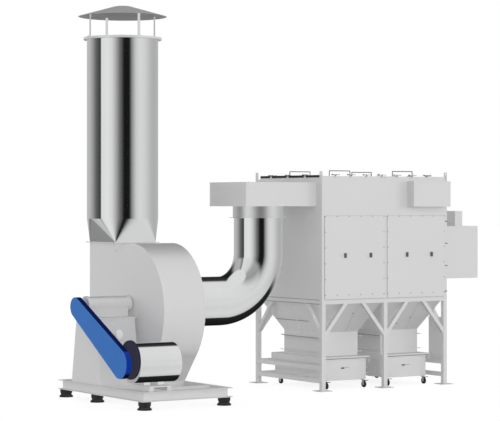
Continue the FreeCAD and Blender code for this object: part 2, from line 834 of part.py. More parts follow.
def square_to_round(lower, circle):
    # Flat triangles on the four sides and a part of a cone at each corner.
    center = circle.Center
    radius = circle.Radius
    corners = [vertex.Point for vertex in lower.OrderedVertexes]
    rim = [center + Vector(x * radius, y * radius, 0) for x, y in ((-1, 0), (0, -1), (1, 0), (0, 1))]
    faces = [Part.Face(lower)]
    arcs = []
    for index in range(4):
        corner = corners[index]
        start = rim[index]
        end = rim[(index + 1) % 4]
        outward = (start + end) * 0.5 - center
        arc = Part.Arc(start, center + outward.normalize() * radius, end).toShape()
        arcs.append(arc)
        cone = Part.makeLoft([Part.Vertex(corner), Part.Wire([arc])], False, True)
        faces.extend(cone.Faces)
        following = corners[(index + 1) % 4]
        faces.append(Part.Face(Part.makePolygon([corner, following, end, corner])))
    faces.append(Part.Face(Part.Wire(arcs)))
    shell = Part.makeShell(faces)
    shell.sewShape()
    solid = Part.makeSolid(Part.Shell(shell.Faces))
    return solid if solid.Volume > 0 else solid.reversed()


def build_fan_stand():
    top = base_top
    f = channel_flange
    web = channel_web
    t = channel_flange_thick
    outer = box(base_left, base_right, base_front, base_rear, base_bottom, top)
    hollow = box(base_left + f + web, base_right - f - web, base_front + f + web, base_rear - f - web,
                 base_bottom, top)
    side = ring_box(base_left, base_right, base_front, base_rear, base_bottom + t, top - t, f)
    members = [outer.cut(hollow).cut(side)]
    for y in cross_channel_places():
        bar = box(base_left + f + web, base_right - f - web, y, y + f, base_bottom, top)
        groove = box(base_left + f + web, base_right - f - web, y + web, y + f, base_bottom + t, top - t)
        members.append(bar.cut(groove))
    keep("base_frame", fuse(members))


def cross_channel_places():
    # The front edges of the cross channels under the motor and the pedestal.
    return (
        motor_y - motor_base_depth / 2,
        motor_y + motor_base_depth / 2 - channel_flange,
        shaft_y - pedestal_base / 2,
        shaft_y + pedestal_base / 2 - channel_flange,
    )


def turned(profile, start, direction):
    # A profile of (radius, height) pairs turned round an axis.
    points = [Vector(r, 0, h) for r, h in profile]
    face = Part.Face(Part.makePolygon(points + [points[0]]))
    solid = face.revolve(Vector(0, 0, 0), Vector(0, 0, 1), 360)
    placement = FreeCAD.Placement(Vector(*start), FreeCAD.Rotation(Vector(0, 0, 1), Vector(*direction)))
    solid.Placement = placement
    return solid


def build_isolators():
    mounts = []
    profile = [
        (0, 0), (isolator_radius, 0), (isolator_radius, isolator_foot), (isolator_waist, isolator_waist_low),
        (isolator_waist, isolator_waist_high), (isolator_head, isolator_head_low),
        (isolator_head, base_bottom), (0, base_bottom),
    ]
    middle = base_front + isolator_middle
    for x in (base_left + isolator_inset, base_right - isolator_inset):
        for y in (base_front + isolator_inset, middle, base_rear - isolator_inset):
            mounts.append(turned(profile, (x, y, 0), (0, 0, 1)))
    keep("rubber_isolators", mounts)


def build_pedestal():
    x0 = pedestal_left
    x1 = pedestal_right
    low = base_top
    high = pedestal_top - pedestal_top_plate
    outer = pedestal_block(x0, x1, low, high, 0.0)
    inner = pedestal_block(x0 + pedestal_plate, x1 - pedestal_plate, low, high, pedestal_plate)
    shell = outer.cut(inner)
    hole_z = pedestal_top - pedestal_hole_drop
    hole_x = (x0 + x1) / 2 + pedestal_hole_aside
    hole = rod((hole_x, shaft_y - pedestal_base, hole_z), (0, 1, 0), pedestal_hole / 2, 2 * pedestal_base)
    shell = shell.cut(hole)
    over = pedestal_top_over
    half = pedestal_head / 2 + over
    plate = box(x0 - over, x1 + over, shaft_y - half, shaft_y + half, high, pedestal_top)
    keep("bearing_pedestal", fuse([shell, plate]))


def pedestal_block(x0, x1, low, high, inset):
    half_low = pedestal_base / 2 - inset
    half_high = pedestal_head / 2 - inset
    points = [
        (x0, shaft_y - half_low, low), (x0, shaft_y + half_low, low),
        (x0, shaft_y + half_high, high), (x0, shaft_y - half_high, high),
    ]
    return prism(points, (x1 - x0, 0, 0))


def build_drive():
    radius = bearing_diameter / 2
    barrel = rod((bearing_left, shaft_y, shaft_z), (1, 0, 0), radius, bearing_right - bearing_left)
    bearing = [barrel]
    for x in (bearing_left, bearing_right - bearing_ring_length):
        bearing.append(rod((x, shaft_y, shaft_z), (1, 0, 0), radius + bearing_ring_out, bearing_ring_length))
    half = bearing_plinth_width / 2
    bearing.append(box(pedestal_left, pedestal_right, shaft_y - half, shaft_y + half, pedestal_top, shaft_z))
    keep("bearing_housing", fuse(bearing))
    length = scroll_left + shaft_inside - bearing_right
    shaft = rod((bearing_right, shaft_y, shaft_z), (1, 0, 0), shaft_diameter / 2, length)
    stub_left = guard_right
    stub = rod((stub_left, shaft_y, shaft_z), (1, 0, 0), shaft_diameter / 2, bearing_left - stub_left)
    start = (stub_left, motor_y, motor_z)
    motor_stub = rod(start, (1, 0, 0), motor_shaft_diameter / 2, motor_left - motor_disc_thick - stub_left)
    keep("drive_shafts", [shaft, stub, motor_stub])

    top = (shaft_y, shaft_z, guard_top_radius)
    low = (motor_y, guard_low_z, guard_low_radius)
    keep("belt_guard", slot_block(guard_left, guard_thick, top, low))

    place = (motor_left - motor_disc_thick, motor_y, motor_z)
    disc = rod(place, (1, 0, 0), motor_radius + motor_disc_out, motor_disc_thick)
    keep("motor_disc", disc)
    body = rod((motor_left, motor_y, motor_z), (1, 0, 0), motor_radius, motor_length)
    feet = []
    half = motor_foot_width / 2
    for x in (motor_left + motor_foot_inset, motor_right - motor_foot_inset - motor_foot_length):
        feet.append(box(x, x + motor_foot_length, motor_y - half, motor_y + half, motor_base_top,
                        motor_z - motor_radius / 2))
    keep("motor_body", fuse([body] + feet))
    half = motor_base_depth / 2
    left = motor_left + motor_base_inset
    right = motor_right - motor_base_inset
    under = motor_base_top - motor_base_plate
    base = [box(left, right, motor_y - half, motor_y + half, under, motor_base_top)]
    for x in (left, right - motor_base_bar):
        base.append(box(x, x + motor_base_bar, motor_y - half, motor_y + half, base_top, under))
    keep("motor_base", fuse(base))


def slot_block(x, thick, top, low):
    # Two circles joined by their outer tangents.
    ay, az, ar = top
    by, bz, br = low
    length = math.hypot(by - ay, bz - az)
    ux = (by - ay) / length
    uz = (bz - az) / length
    lean = math.asin((ar - br) / length)
    solids = [
        rod((x, ay, az), (1, 0, 0), ar, thick),
        rod((x, by, bz), (1, 0, 0), br, thick),
    ]
    points = []
    for side in (1, -1):
        ny = -uz * side * math.cos(lean) + ux * math.sin(lean)
        nz = ux * side * math.cos(lean) + uz * math.sin(lean)
        pair = [(x, ay + ny * ar, az + nz * ar), (x, by + ny * br, bz + nz * br)]
        points.extend(pair if side == 1 else pair[::-1])
    solids.append(prism(points, (thick, 0, 0)))
    return fuse(solids)


def place_and_write():
    shift_x = -(guard_left + body_width + inlet_box_length) / 2
    shift_y = -(base_front + outlet_middle_y + cap_diameter / 2) / 2
    os.makedirs("parts", exist_ok=True)
    print("origin moves by", shift_x, shift_y)
    for name, solids in pieces.items():
        moved = []
        for solid in solids:
            copy = solid.copy()
            copy.translate(Vector(shift_x, shift_y, 0))
            moved.append(copy)
        shape = Part.makeCompound(moved) if len(moved) > 1 else moved[0]
        shape.exportStep("parts/%s.step" % name)
        ok = all(solid.isValid() and len(solid.Solids) == 1 for solid in moved)
        bounds = shape.BoundBox
        print(name, len(moved), "" if ok else "CHECK", round(shape.Volume / 1e9, 4),
              [round(v) for v in (bounds.XMin, bounds.XMax, bounds.YMin, bounds.YMax, bounds.ZMin, bounds.ZMax)])
    print(len(pieces), "nodes")


build_frame()
build_walls()
build_doors()
build_roof()
build_side_boxes()
build_hoppers()
build_bins()
build_duct()
build_scroll()
build_stack()
build_fan_stand()
build_isolators()
build_pedestal()
build_drive()
place_and_write()
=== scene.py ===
import json
import math
import bpy
from mathutils import Matrix, Vector


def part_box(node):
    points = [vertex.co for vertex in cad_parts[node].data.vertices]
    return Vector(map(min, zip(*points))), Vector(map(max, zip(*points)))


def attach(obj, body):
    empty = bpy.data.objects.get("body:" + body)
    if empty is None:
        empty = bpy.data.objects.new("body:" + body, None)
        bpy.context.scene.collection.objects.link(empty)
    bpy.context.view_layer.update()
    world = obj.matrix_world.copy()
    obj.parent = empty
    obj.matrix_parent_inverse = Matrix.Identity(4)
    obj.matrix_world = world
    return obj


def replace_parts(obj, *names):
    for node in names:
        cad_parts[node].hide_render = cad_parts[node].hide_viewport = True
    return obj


# Cartridge dust collector with its fan, dressed for a studio picture.
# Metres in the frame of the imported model, +Z up, doors towards -Y, fan on the -X side.

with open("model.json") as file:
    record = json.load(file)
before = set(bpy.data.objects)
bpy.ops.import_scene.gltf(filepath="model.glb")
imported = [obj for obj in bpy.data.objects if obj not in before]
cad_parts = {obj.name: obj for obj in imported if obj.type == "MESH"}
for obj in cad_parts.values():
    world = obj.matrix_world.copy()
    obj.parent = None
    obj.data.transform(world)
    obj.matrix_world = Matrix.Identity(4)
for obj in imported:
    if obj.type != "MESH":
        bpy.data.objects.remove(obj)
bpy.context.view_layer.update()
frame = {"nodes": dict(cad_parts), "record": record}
nodes = frame["nodes"]
bpy.context.scene.tool_settings.mesh_select_mode = (False, False, True)
print("frame loaded:", len(nodes), "nodes")


# camera

viewSettings = {
    "place": (-20.737, -30.892, 3.395),
    "heading": 32.81,       # degrees to the right of +Y
    "sensor": 36,
    "lens": 146.9,
    "shiftUp": -0.01402,
    "farEnd": 400,
}


def placeCamera(look):
    lens = bpy.data.cameras.new("pictureLens")
    lens.sensor_width = look["sensor"]
    lens.lens = look["lens"]
    lens.shift_y = look["shiftUp"]
    lens.clip_end = look["farEnd"]
    camera = bpy.data.objects.new("pictureCamera", lens)
    camera.location = look["place"]
    camera.rotation_euler = (math.pi / 2, 0, -math.radians(look["heading"]))
    bpy.context.scene.collection.objects.link(camera)
    bpy.context.scene.camera = camera


placeCamera(viewSettings)
bpy.context.scene.view_settings.view_transform = "Standard"
print("camera placed")


# small tools for the materials; a link is a pair of a node and its output

def paintChip(hexText):
    # sRGB hex to the linear colour that the shader wants
    channels = [int(hexText[i:i + 2], 16) / 255 for i in (1, 3, 5)]
    linear = [c / 12.92 if c <= 0.04045 else ((c + 0.055) / 1.055) ** 2.4 for c in channels]
    return (*linear, 1.0)


def addNode(tree, kind, settings=None, links=None):
    node = tree.nodes.new(kind)
    for key, value in (settings or {}).items():
        if isinstance(key, int) or key in node.inputs:
            node.inputs[key].default_value = value
        else:
            setattr(node, key, value)
    for key, (source, output) in (links or {}).items():
        tree.links.new(source.outputs[output], node.inputs[key])
    return node


def newMaterial(name):
    material = bpy.data.materials.new(name)
    material.use_nodes = True
    material.node_tree.nodes.clear()
    return material, material.node_tree


def addNoise(tree, place, scale, detail):
    noise = addNode(tree, "ShaderNodeTexNoise", {"Scale": scale, "Detail": detail},
                    {"Vector": place})
    return noise, "Fac"


def mixTones(tree, first, second, share):
    mix = addNode(tree, "ShaderNodeMix", {"data_type": "RGBA", 6: paintChip(first),
                                          7: paintChip(second)}, {0: share})
    return mix, 2


def varyRoughness(tree, look, share):
    # from smoother to rougher than the look's own roughness
    span = addNode(tree, "ShaderNodeMapRange", {"To Min": look["roughness"] - look["smoother"],
                                                "To Max": look["roughness"] + look["rougher"]},
                   {"Value": share})
    return span, "Result"


def addRelief(tree, strength, depth, height):
    bump = addNode(tree, "ShaderNodeBump", {"Strength": strength, "Distance": depth},
                   {"Height": height})
    return bump, 0


def closeMaterial(tree, settings, links):
    surface = addNode(tree, "ShaderNodeBsdfPrincipled", settings, links)
    addNode(tree, "ShaderNodeOutputMaterial", None, {"Surface": (surface, 0)})


# light

studio = {
    "softLevel": 1.43,              # what the white room gives to matt surfaces from the sides
    "overheadLevel": 0.24,          # and from straight above
    "overheadFade": (0.10, 0.90),   # from the one to the other, by height of the direction
    "sideFade": (0.17, 0.36),       # from the level bands to the upper or lower ones
    "ceilingFade": (0.80, 0.88),
    "ceilingLevel": 0.80,
    "mirrorStrength": 1.12,
    "towardsCamera": -122.81,       # heading of the camera as seen from the object, from +X
    "floorSize": 400,
    "floorPaint": "#F2F2F1",
    "floorShare": 0.35,             # share of the floor's brightness that shadows can take away
    "floorGlow": 1.29,
}

softboxes = [
    {"name": "rightSoftbox", "from": (0.734, -0.679, 0.06), "strength": 0.50, "spread": 24},
    {"name": "leftSoftbox", "from": (-0.922, 0.388, 0.06), "strength": 0.20, "spread": 24},
]

# What polished steel mirrors: (degrees from the camera's own direction, left negative; grey).
levelBands = [
    (-180, 0.50), (-130, 0.52), (-118, 0.43), (-106, 0.32), (-92, 0.14), (-76, 0.06), (-71, 0.06),
    (-69, 0.80), (-45, 0.85), (-30, 0.72), (-18, 0.45), (-6, 0.17), (8, 0.008), (24, 0.008),
    (27.5, 0.04), (30, 0.16), (38, 0.40), (48, 0.66), (62, 0.76), (80, 0.70), (92, 0.62),
    (106, 0.52), (125, 0.47), (135, 0.48), (179.9, 0.50),
]
upperBands = [
    (-180, 0.01), (-150, 0.02), (-125, 0.45), (-92, 0.50), (-76, 0.20), (-69, 0.80), (-30, 0.72),
    (-10, 0.40), (20, 0.35), (48, 0.75), (80, 0.80), (140, 0.75), (156, 0.05), (179.9, 0.01),
]
lowerBands = [
    (-180, 0.008), (-140, 0.01), (-125, 0.50), (-106, 0.55), (-69, 0.70), (-30, 0.60), (0, 0.35),
    (25, 0.35), (48, 0.65), (80, 0.75), (108, 0.65), (113, 0.02), (179.9, 0.008),
]


def addBands(tree, along, bands):
    ramp = addNode(tree, "ShaderNodeValToRGB", None, {"Fac": along})
    scale = ramp.color_ramp
    scale.elements[0].position = 0
    scale.elements[1].position = 1
    for angle, level in bands[1:-1]:
        scale.elements.new((angle + 180) / 360)
    for stop, (angle, level) in zip(scale.elements, bands):
        stop.color = (level, level, level, 1)
    return ramp, "Color"


def fadeByHeight(tree, split, start, end, levels=(0.0, 1.0)):
    fade = addNode(tree, "ShaderNodeMapRange",
                   {"From Min": start, "From Max": end, "To Min": levels[0], "To Max": levels[1],
                    "interpolation_type": "SMOOTHSTEP"}, {"Value": (split, "Z")})
    return fade, "Result"


def mixColours(tree, share, first, second):
    mix = addNode(tree, "ShaderNodeMix", {"data_type": "RGBA"}, {0: share, 6: first, 7: second})
    return mix, 2


def lightStudio(room, boxes):
    world = bpy.data.worlds.new("photoStudio")
    world.use_nodes = True
    bpy.context.scene.world = world
    tree = world.node_tree
    tree.nodes.clear()
    place = addNode(tree, "ShaderNodeTexCoord")
    split = addNode(tree, "ShaderNodeSeparateXYZ", None, {0: (place, "Generated")})
    heading = addNode(tree, "ShaderNodeMath", {"operation": "ARCTAN2"},
                      {0: (split, "Y"), 1: (split, "X")})
    degrees = addNode(tree, "ShaderNodeMath", {"operation": "DEGREES"}, {0: (heading, 0)})
    fromCamera = addNode(tree, "ShaderNodeMath",
                         {"operation": "SUBTRACT", 1: room["towardsCamera"]}, {0: (degrees, 0)})
    wrapped = addNode(tree, "ShaderNodeMath", {"operation": "WRAP", 1: 180.0, 2: -180.0},
                      {0: (fromCamera, 0)})
    along = addNode(tree, "ShaderNodeMapRange", {"From Min": -180.0, "From Max": 180.0},
                    {"Value": (wrapped, 0)})
    level, upper, lower = [addBands(tree, (along, "Result"), bands)
                           for bands in (levelBands, upperBands, lowerBands)]
    start, end = room["sideFade"]
    sides = mixColours(tree, fadeByHeight(tree, split, start, end), level, upper)
    sides = mixColours(tree, fadeByHeight(tree, split, -start, -end), sides, lower)
    grey = room["ceilingLevel"]
    ceiling = addNode(tree, "ShaderNodeMix", {"data_type": "RGBA", 7: (grey, grey, grey, 1)},
                      {0: fadeByHeight(tree, split, *room["ceilingFade"]), 6: sides})
    mirrored = addNode(tree, "ShaderNodeBackground", {"Strength": room["mirrorStrength"]},
                       {"Color": (ceiling, 2)})
    overhead = fadeByHeight(tree, split, *room["overheadFade"],
                            (room["softLevel"], room["overheadLevel"]))
    soft = addNode(tree, "ShaderNodeBackground", {"Color": (1, 1, 1, 1)}, {"Strength": overhead})
    white = addNode(tree, "ShaderNodeBackground", {"Color": (1, 1, 1, 1), "Strength": 1.0})
    path = addNode(tree, "ShaderNodeLightPath")
    roomLight = addNode(tree, "ShaderNodeMixShader", None,
                     {0: (path, "Is Glossy Ray"), 1: (soft, 0), 2: (mirrored, 0)})
    direct = addNode(tree, "ShaderNodeMath", {"operation": "MAXIMUM"},
                     {0: (path, "Is Camera Ray"), 1: (path, "Is Transmission Ray")})
    backdrop = addNode(tree, "ShaderNodeMixShader", None,
                       {0: (direct, 0), 1: (roomLight, 0), 2: (white, 0)})
    addNode(tree, "ShaderNodeOutputWorld", None, {"Surface": (backdrop, 0)})

    for box in boxes:
        lamp = bpy.data.lights.new(box["name"], "SUN")
        lamp.energy = box["strength"]
        lamp.angle = math.radians(box["spread"])
        holder = bpy.data.objects.new(box["name"], lamp)
        holder.rotation_euler = Vector(box["from"]).to_track_quat("Z", "Y").to_euler()
        holder.visible_glossy = False
        bpy.context.scene.collection.objects.link(holder)


def layFloor(room):
    # shadows show only in the matt share of the floor, the rest glows white for the camera
    bpy.ops.object.select_all(action="DESELECT")
    bpy.ops.mesh.primitive_plane_add(size=room["floorSize"], location=(0, 0, 0))
    floor = bpy.context.object
    floor.name = "studioFloor"
    material, tree = newMaterial("whitePaintedFloor")
    matt = addNode(tree, "ShaderNodeBsdfDiffuse", {"Color": paintChip(room["floorPaint"])})
    glow = addNode(tree, "ShaderNodeEmission",
                   {"Color": (1, 1, 1, 1), "Strength": room["floorGlow"]})
    path = addNode(tree, "ShaderNodeLightPath")
    lit = addNode(tree, "ShaderNodeMixShader", {0: room["floorShare"]},
                  {1: (glow, 0), 2: (matt, 0)})
    shown = addNode(tree, "ShaderNodeMixShader", None,
                    {0: (path, "Is Camera Ray"), 1: (matt, 0), 2: (lit, 0)})
    addNode(tree, "ShaderNodeOutputMaterial", None, {"Surface": (shown, 0)})
    floor.data.materials.append(material)
    floor.visible_glossy = False


lightStudio(studio, softboxes)
layFloor(studio)
print("light and floor set")


# finishes; cloud, peel, grain: (scale, detail) of a noise; relief: (strength, depth) of a bump

powderCoat = {"colour": "#EAEAEA", "shade": "#E5E5E5", "flake": 0.22, "cloud": (0.9, 3.0),
              "roughness": 0.32, "smoother": 0.05, "rougher": 0.05, "peel": (90.0, 2.0),
              "relief": (0.08, 0.001)}


def makePowderCoat(look):
    # White powder coat with fine metal flake: an even satin white with a slight orange peel.
    material, tree = newMaterial("whitePowderCoat")
    place = addNode(tree, "ShaderNodeTexCoord"), "Object"
    cloud = addNoise(tree, place, *look["cloud"])
    tone = mixTones(tree, look["shade"], look["colour"], cloud)
    cure = varyRoughness(tree, look, cloud)
    peel = addNoise(tree, place, *look["peel"])
    bump = addRelief(tree, *look["relief"], peel)
    closeMaterial(tree, {"Metallic": look["flake"]},
                  {"Base Color": tone, "Roughness": cure, "Normal": bump})
    return material


sheetSteel = {"rolling": (1.0, 1.0, 0.15), "cloud": (3.0, 3.0), "smoother": 0.03, "rougher": 0.03,
              "relief": (0.02, 0.01)}
polished = {**sheetSteel, "name": "polishedStainless", "colour": "#E8E8E9", "haze": "#DFE0E0",
            "roughness": 0.07}
satin = {**sheetSteel, "name": "satinStainless", "colour": "#EDEDEE", "haze": "#E4E5E5",
         "roughness": 0.40}


def makeSheetSteel(look):
    # Stainless sheet, rolled bright or satin: mirrors the room in bands that the rolling breaks up.
    material, tree = newMaterial(look["name"])
    place = addNode(tree, "ShaderNodeTexCoord")
    rolled = addNode(tree, "ShaderNodeMapping", {"Scale": look["rolling"]},
                     {"Vector": (place, "Object")})
    cloud = addNoise(tree, (rolled, "Vector"), *look["cloud"])
    tone = mixTones(tree, look["haze"], look["colour"], cloud)
    rough = varyRoughness(tree, look, cloud)
    wave = addRelief(tree, *look["relief"], cloud)
    closeMaterial(tree, {"Metallic": 1.0},
                  {"Base Color": tone, "Roughness": rough, "Normal": wave})
    return material


lacquer = {"cloud": (2.5, 2.0), "peel": (120.0, 1.0), "relief": (0.06, 0.001)}
guardEnamel = {**lacquer, "name": "blueMetallicLacquer", "colour": "#408EEE", "shade": "#3C87E4",
               "roughness": 0.28, "flake": 0.75}
# the rim's deeper blue is painted shade: the face's lacquer darkened for the guard's edge
rimEnamelPaintedShade = {**lacquer, "name": "blueLacquerPaintedShade", "colour": "#0E3AA6", "shade": "#0C3499",
             "roughness": 0.26, "flake": 0.94}
# partly the disc's own navy paint, partly painted shade: darkened further for the shadow behind the
# belt guard
discEnamelAndShade = {**lacquer, "name": "navyLacquerAndPaintedShade", "colour": "#04123A", "shade": "#030F32",
              "roughness": 0.32, "flake": 0.5}


def makeEnamel(look):
    # Metallic lacquer on sheet: bright where it faces the light, deep where it turns away. The
    # deeper copies for the guard's rim and the motor disc are painted shade.
    material, tree = newMaterial(look["name"])
    place = addNode(tree, "ShaderNodeTexCoord"), "Object"
    cloud = addNoise(tree, place, *look["cloud"])
    tone = mixTones(tree, look["shade"], look["colour"], cloud)
    peel = addNoise(tree, place, *look["peel"])
    bump = addRelief(tree, *look["relief"], peel)
    closeMaterial(tree, {"Roughness": look["roughness"], "Metallic": look["flake"]},
                  {"Base Color": tone, "Normal": bump})
    return material


moulded = {"cloud": (12.0, 4.0), "grain": (400.0, 2.0), "relief": (0.2, 0.0005)}
isolatorRubber = {**moulded, "name": "mouldedRubber", "colour": "#161616", "bloom": "#232323",
                  "roughness": 0.58}
tyreRubber = {**moulded, "name": "tyreRubber", "colour": "#0E0E0E", "bloom": "#1B1B1B",
              "roughness": 0.60}


def makeRubber(look):
    # Moulded black rubber: soft sheen, a paler bloom in clouds and a fine grain.
    material, tree = newMaterial(look["name"])
    place = addNode(tree, "ShaderNodeTexCoord"), "Object"
    cloud = addNoise(tree, place, *look["cloud"])
    tone = mixTones(tree, look["colour"], look["bloom"], cloud)
    grain = addNoise(tree, place, *look["grain"])
    bump = addRelief(tree, *look["relief"], grain)
    closeMaterial(tree, {"Roughness": look["roughness"]},
                  {"Base Color": tone, "Normal": bump})
    return material


plated = {"crystals": 140.0, "smoother": 0.05, "rougher": 0.10}
zincPlate = {**plated, "name": "zincPlate", "colour": "#C4C7C9", "shade": "#A6A9AC",
             "roughness": 0.34, "metal": 1.0}
capSteel = {**plated, "name": "weatheredZinc", "colour": "#D6D6D6", "shade": "#CCCCCC",
            "roughness": 0.42, "metal": 0.25}
darkSteel = {**plated, "name": "blackenedSteel", "colour": "#6E6F71", "shade": "#5F6062",
             "roughness": 0.50, "metal": 0.2}


def makePlatedSteel(look):
    # Plated or blackened steel: a grey with mottled crystals and small scuffs.
    material, tree = newMaterial(look["name"])
    place = addNode(tree, "ShaderNodeTexCoord")
    crystals = addNode(tree, "ShaderNodeTexVoronoi", {"Scale": look["crystals"]},
                       {"Vector": (place, "Object")})
    tone = mixTones(tree, look["shade"], look["colour"], (crystals, "Distance"))
    rough = varyRoughness(tree, look, (crystals, "Distance"))
    closeMaterial(tree, {"Metallic": look["metal"]},
                  {"Base Color": tone, "Roughness": rough})
    return material


# each finish with the slot that it stands for
whitePaint = makePowderCoat(powderCoat), "white_paint"
stainless = makeSheetSteel(polished), "polished_steel"
satinSteel = makeSheetSteel(satin), "polished_steel"
blueEnamel = makeEnamel(guardEnamel), "blue_paint"
blueEnamelPaintedShade = makeEnamel(rimEnamelPaintedShade), "blue_paint"
navyEnamelAndShade = makeEnamel(discEnamelAndShade), "dark_blue_paint"
rubber = makeRubber(isolatorRubber), "black_rubber"
tyre = makeRubber(tyreRubber), "black_tyre"
zinc = makePlatedSteel(zincPlate), "plated_steel"
dullZinc = makePlatedSteel(capSteel), "plated_steel"
blackSteel = makePlatedSteel(darkSteel), "dark_steel"

slotFinishes = {slotName: material for material, slotName in (
    whitePaint, stainless, blueEnamel, navyEnamelAndShade, rubber, tyre, zinc, blackSteel)}
ownFinishes = {"plenum_collar": satinSteel[0], "rain_cap": dullZinc[0]}

for entry in frame["record"]["subparts"]:
    node = nodes[entry["node"]]
    node.visible_glossy = False   # the bright steel mirrors the studio alone
    for slot in node.material_slots:
        slot.material = ownFinishes.get(entry["node"], slotFinishes[entry["material_slot"]])
print("finishes set on", len(nodes), "nodes")


# tools for the pieces

front, left, right, up, down = (0, -1, 0), (-1, 0, 0), (1, 0, 0), (0, 0, 1), (0, 0, -1)
smoothAngle, edgeAngle = 32, 35   # degrees: shaded smooth below the one, bevelled above the other
facing = 0.9   # least share of a face's normal along the wanted way


def soloSelect(piece):
    bpy.ops.object.select_all(action="DESELECT")
    piece.select_set(True)
    bpy.context.view_layer.objects.active = piece


def makeBlock(name, low, high):
    bpy.ops.object.select_all(action="DESELECT")
    low, high = Vector(low), Vector(high)
    bpy.ops.mesh.primitive_cube_add(size=1, location=(low + high) / 2)
    piece = bpy.context.object
    piece.name = name
    piece.scale = high - low
    bpy.ops.object.transform_apply(location=True, rotation=True, scale=True)
    return piece


def makeRound(name, start, along, radius, length, sides):
    # a cylinder that stands on start and runs along the given direction
    bpy.ops.object.select_all(action="DESELECT")
    start, along = Vector(start), Vector(along).normalized()
    bpy.ops.mesh.primitive_cylinder_add(vertices=sides, radius=radius, depth=length,
                                        location=start + along * length / 2,
                                        rotation=along.to_track_quat("Z", "Y").to_euler())
    piece = bpy.context.object
    piece.name = name
    bpy.ops.object.transform_apply(location=True, rotation=True, scale=True)
    return piece


def pickFacing(piece, way):
    # goes to Edit mode with the faces selected that face the given way
    soloSelect(piece)
    bpy.ops.object.mode_set(mode="EDIT")
    bpy.ops.mesh.select_all(action="DESELECT")
    bpy.ops.object.mode_set(mode="OBJECT")
    for face in piece.data.polygons:
        face.select = face.normal.dot(Vector(way)) > facing
    bpy.ops.object.mode_set(mode="EDIT")


def pullFaces(move, shrink=1.0):
    # extrudes what is selected by a move, then scales the new faces about their own middle
    bpy.ops.mesh.extrude_region_move(TRANSFORM_OT_translate={"value": move})
    if shrink != 1.0:
        bpy.ops.transform.resize(value=(shrink, shrink, shrink))


def dishFaces(margin, move):
    # insets what is selected and moves the new face
    bpy.ops.mesh.inset(thickness=margin)
    bpy.ops.transform.translate(value=move)


def leaveEdit():
    bpy.ops.object.mode_set(mode="OBJECT")


def softenEdges(piece, width, steps=2):
    soloSelect(piece)
    bevel = piece.modifiers.new("softEdge", "BEVEL")
    bevel.width = width
    bevel.segments = steps
    bevel.limit_method = "ANGLE"
    bevel.angle_limit = math.radians(edgeAngle)
    bpy.ops.object.modifier_apply(modifier="softEdge")
    return piece


def softBlock(name, low, high, edge, steps=2):
    return softenEdges(makeBlock(name, low, high), edge, steps)


def softRound(name, start, along, radius, length, sides, edge, steps=2):
    return softenEdges(makeRound(name, start, along, radius, length, sides), edge, steps)


def joinPieces(parts, name):
    bpy.ops.object.select_all(action="DESELECT")
    for part in parts:
        part.select_set(True)
    bpy.context.view_layer.objects.active = parts[0]
    if len(parts) > 1:
        bpy.ops.object.join()
    piece = bpy.context.object
    piece.name = name
    bpy.ops.object.transform_apply(location=True, rotation=True, scale=True)
    return piece


def layCopies(template, matrices, name):
    # a copy of the template under each matrix, joined to one
    copies = []
    for matrix in matrices:
        twin = template.copy()
        twin.data = template.data.copy()
        bpy.context.scene.collection.objects.link(twin)
        twin.matrix_world = matrix
        copies.append(twin)
    bpy.context.view_layer.update()
    return joinPieces(copies, name)


def copyTo(template, spots, name):
    # spots are (place, direction for the template's own up)
    turns = [Vector(way).to_track_quat("Z", "Y").to_matrix().to_4x4() for place, way in spots]
    return layCopies(template, [Matrix.Translation(Vector(spot[0])) @ turn
                                for spot, turn in zip(spots, turns)], name)


def copyTurned(template, spots, name):
    # spots are (place, turn about Z)
    return layCopies(template, [Matrix.Translation(Vector(place)) @ Matrix.Rotation(turn, 4, "Z")
                                for place, turn in spots], name)


def boxOf(points):
    return tuple(Vector([pick(point[i] for point in points) for i in range(3)])
                 for pick in (min, max))


def blockBoxes(nodeName, reach):
    # the box of each separate block of a CAD node, blocks being further apart than reach
    groups = []
    for corner in nodes[nodeName].data.vertices:
        group = next((g for g in groups if (g[0] - corner.co).length < reach), None)
        if group is None:
            groups.append([corner.co.copy()])
        else:
            group.append(corner.co.copy())
    return [boxOf(group) for group in groups]


def dropTemplates(*templates):
    for template in templates:
        bpy.data.objects.remove(template, do_unlink=True)


def finishPiece(piece, finish, body="collector"):
    material, slotName = finish
    soloSelect(piece)
    bpy.ops.object.shade_smooth_by_angle(angle=math.radians(smoothAngle))
    even = piece.modifiers.new("evenFaces", "WEIGHTED_NORMAL")
    even.keep_sharp = True
    bpy.ops.object.modifier_apply(modifier="evenFaces")
    piece.data.materials.clear()
    piece.data.materials.append(material)
    piece.visible_glossy = False
    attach(piece, body)
    return piece


def spread(first, last, count):
    return [first + (last - first) * i / (count - 1) for i in range(count)]


def ringSpots(x, centre, circle, count, way):
    # places round an axis along X, half a step on from +Y
    turns = [2 * math.pi * (i + 0.5) / count for i in range(count)]
    return [((x, centre.y + circle * math.cos(turn), centre.z + circle * math.sin(turn)), way)
            for turn in turns]


# screws and nuts, the templates for every row of them

screwLook = {"washer": 0.011, "washerThick": 0.002, "head": 0.0080, "rise": 0.005,
             "domeRise": 0.003, "domeShare": 0.55, "sides": 12}


def shapeScrew(look, scale=1.0):
    # washer and domed head
    piece = makeRound("screw", (0, 0, 0), up, look["washer"] * scale,
                      look["washerThick"] * scale, look["sides"])
    pickFacing(piece, up)
    bpy.ops.mesh.inset(thickness=(look["washer"] - look["head"]) * scale)
    pullFaces((0, 0, look["rise"] * scale))
    pullFaces((0, 0, look["domeRise"] * scale), look["domeShare"])
    leaveEdit()
    return piece


nutLook = {"washer": 0.018, "washerThick": 0.003, "nut": 0.014, "nutHigh": 0.012,
           "margin": 0.003, "studHigh": 0.008, "studShare": 0.8}


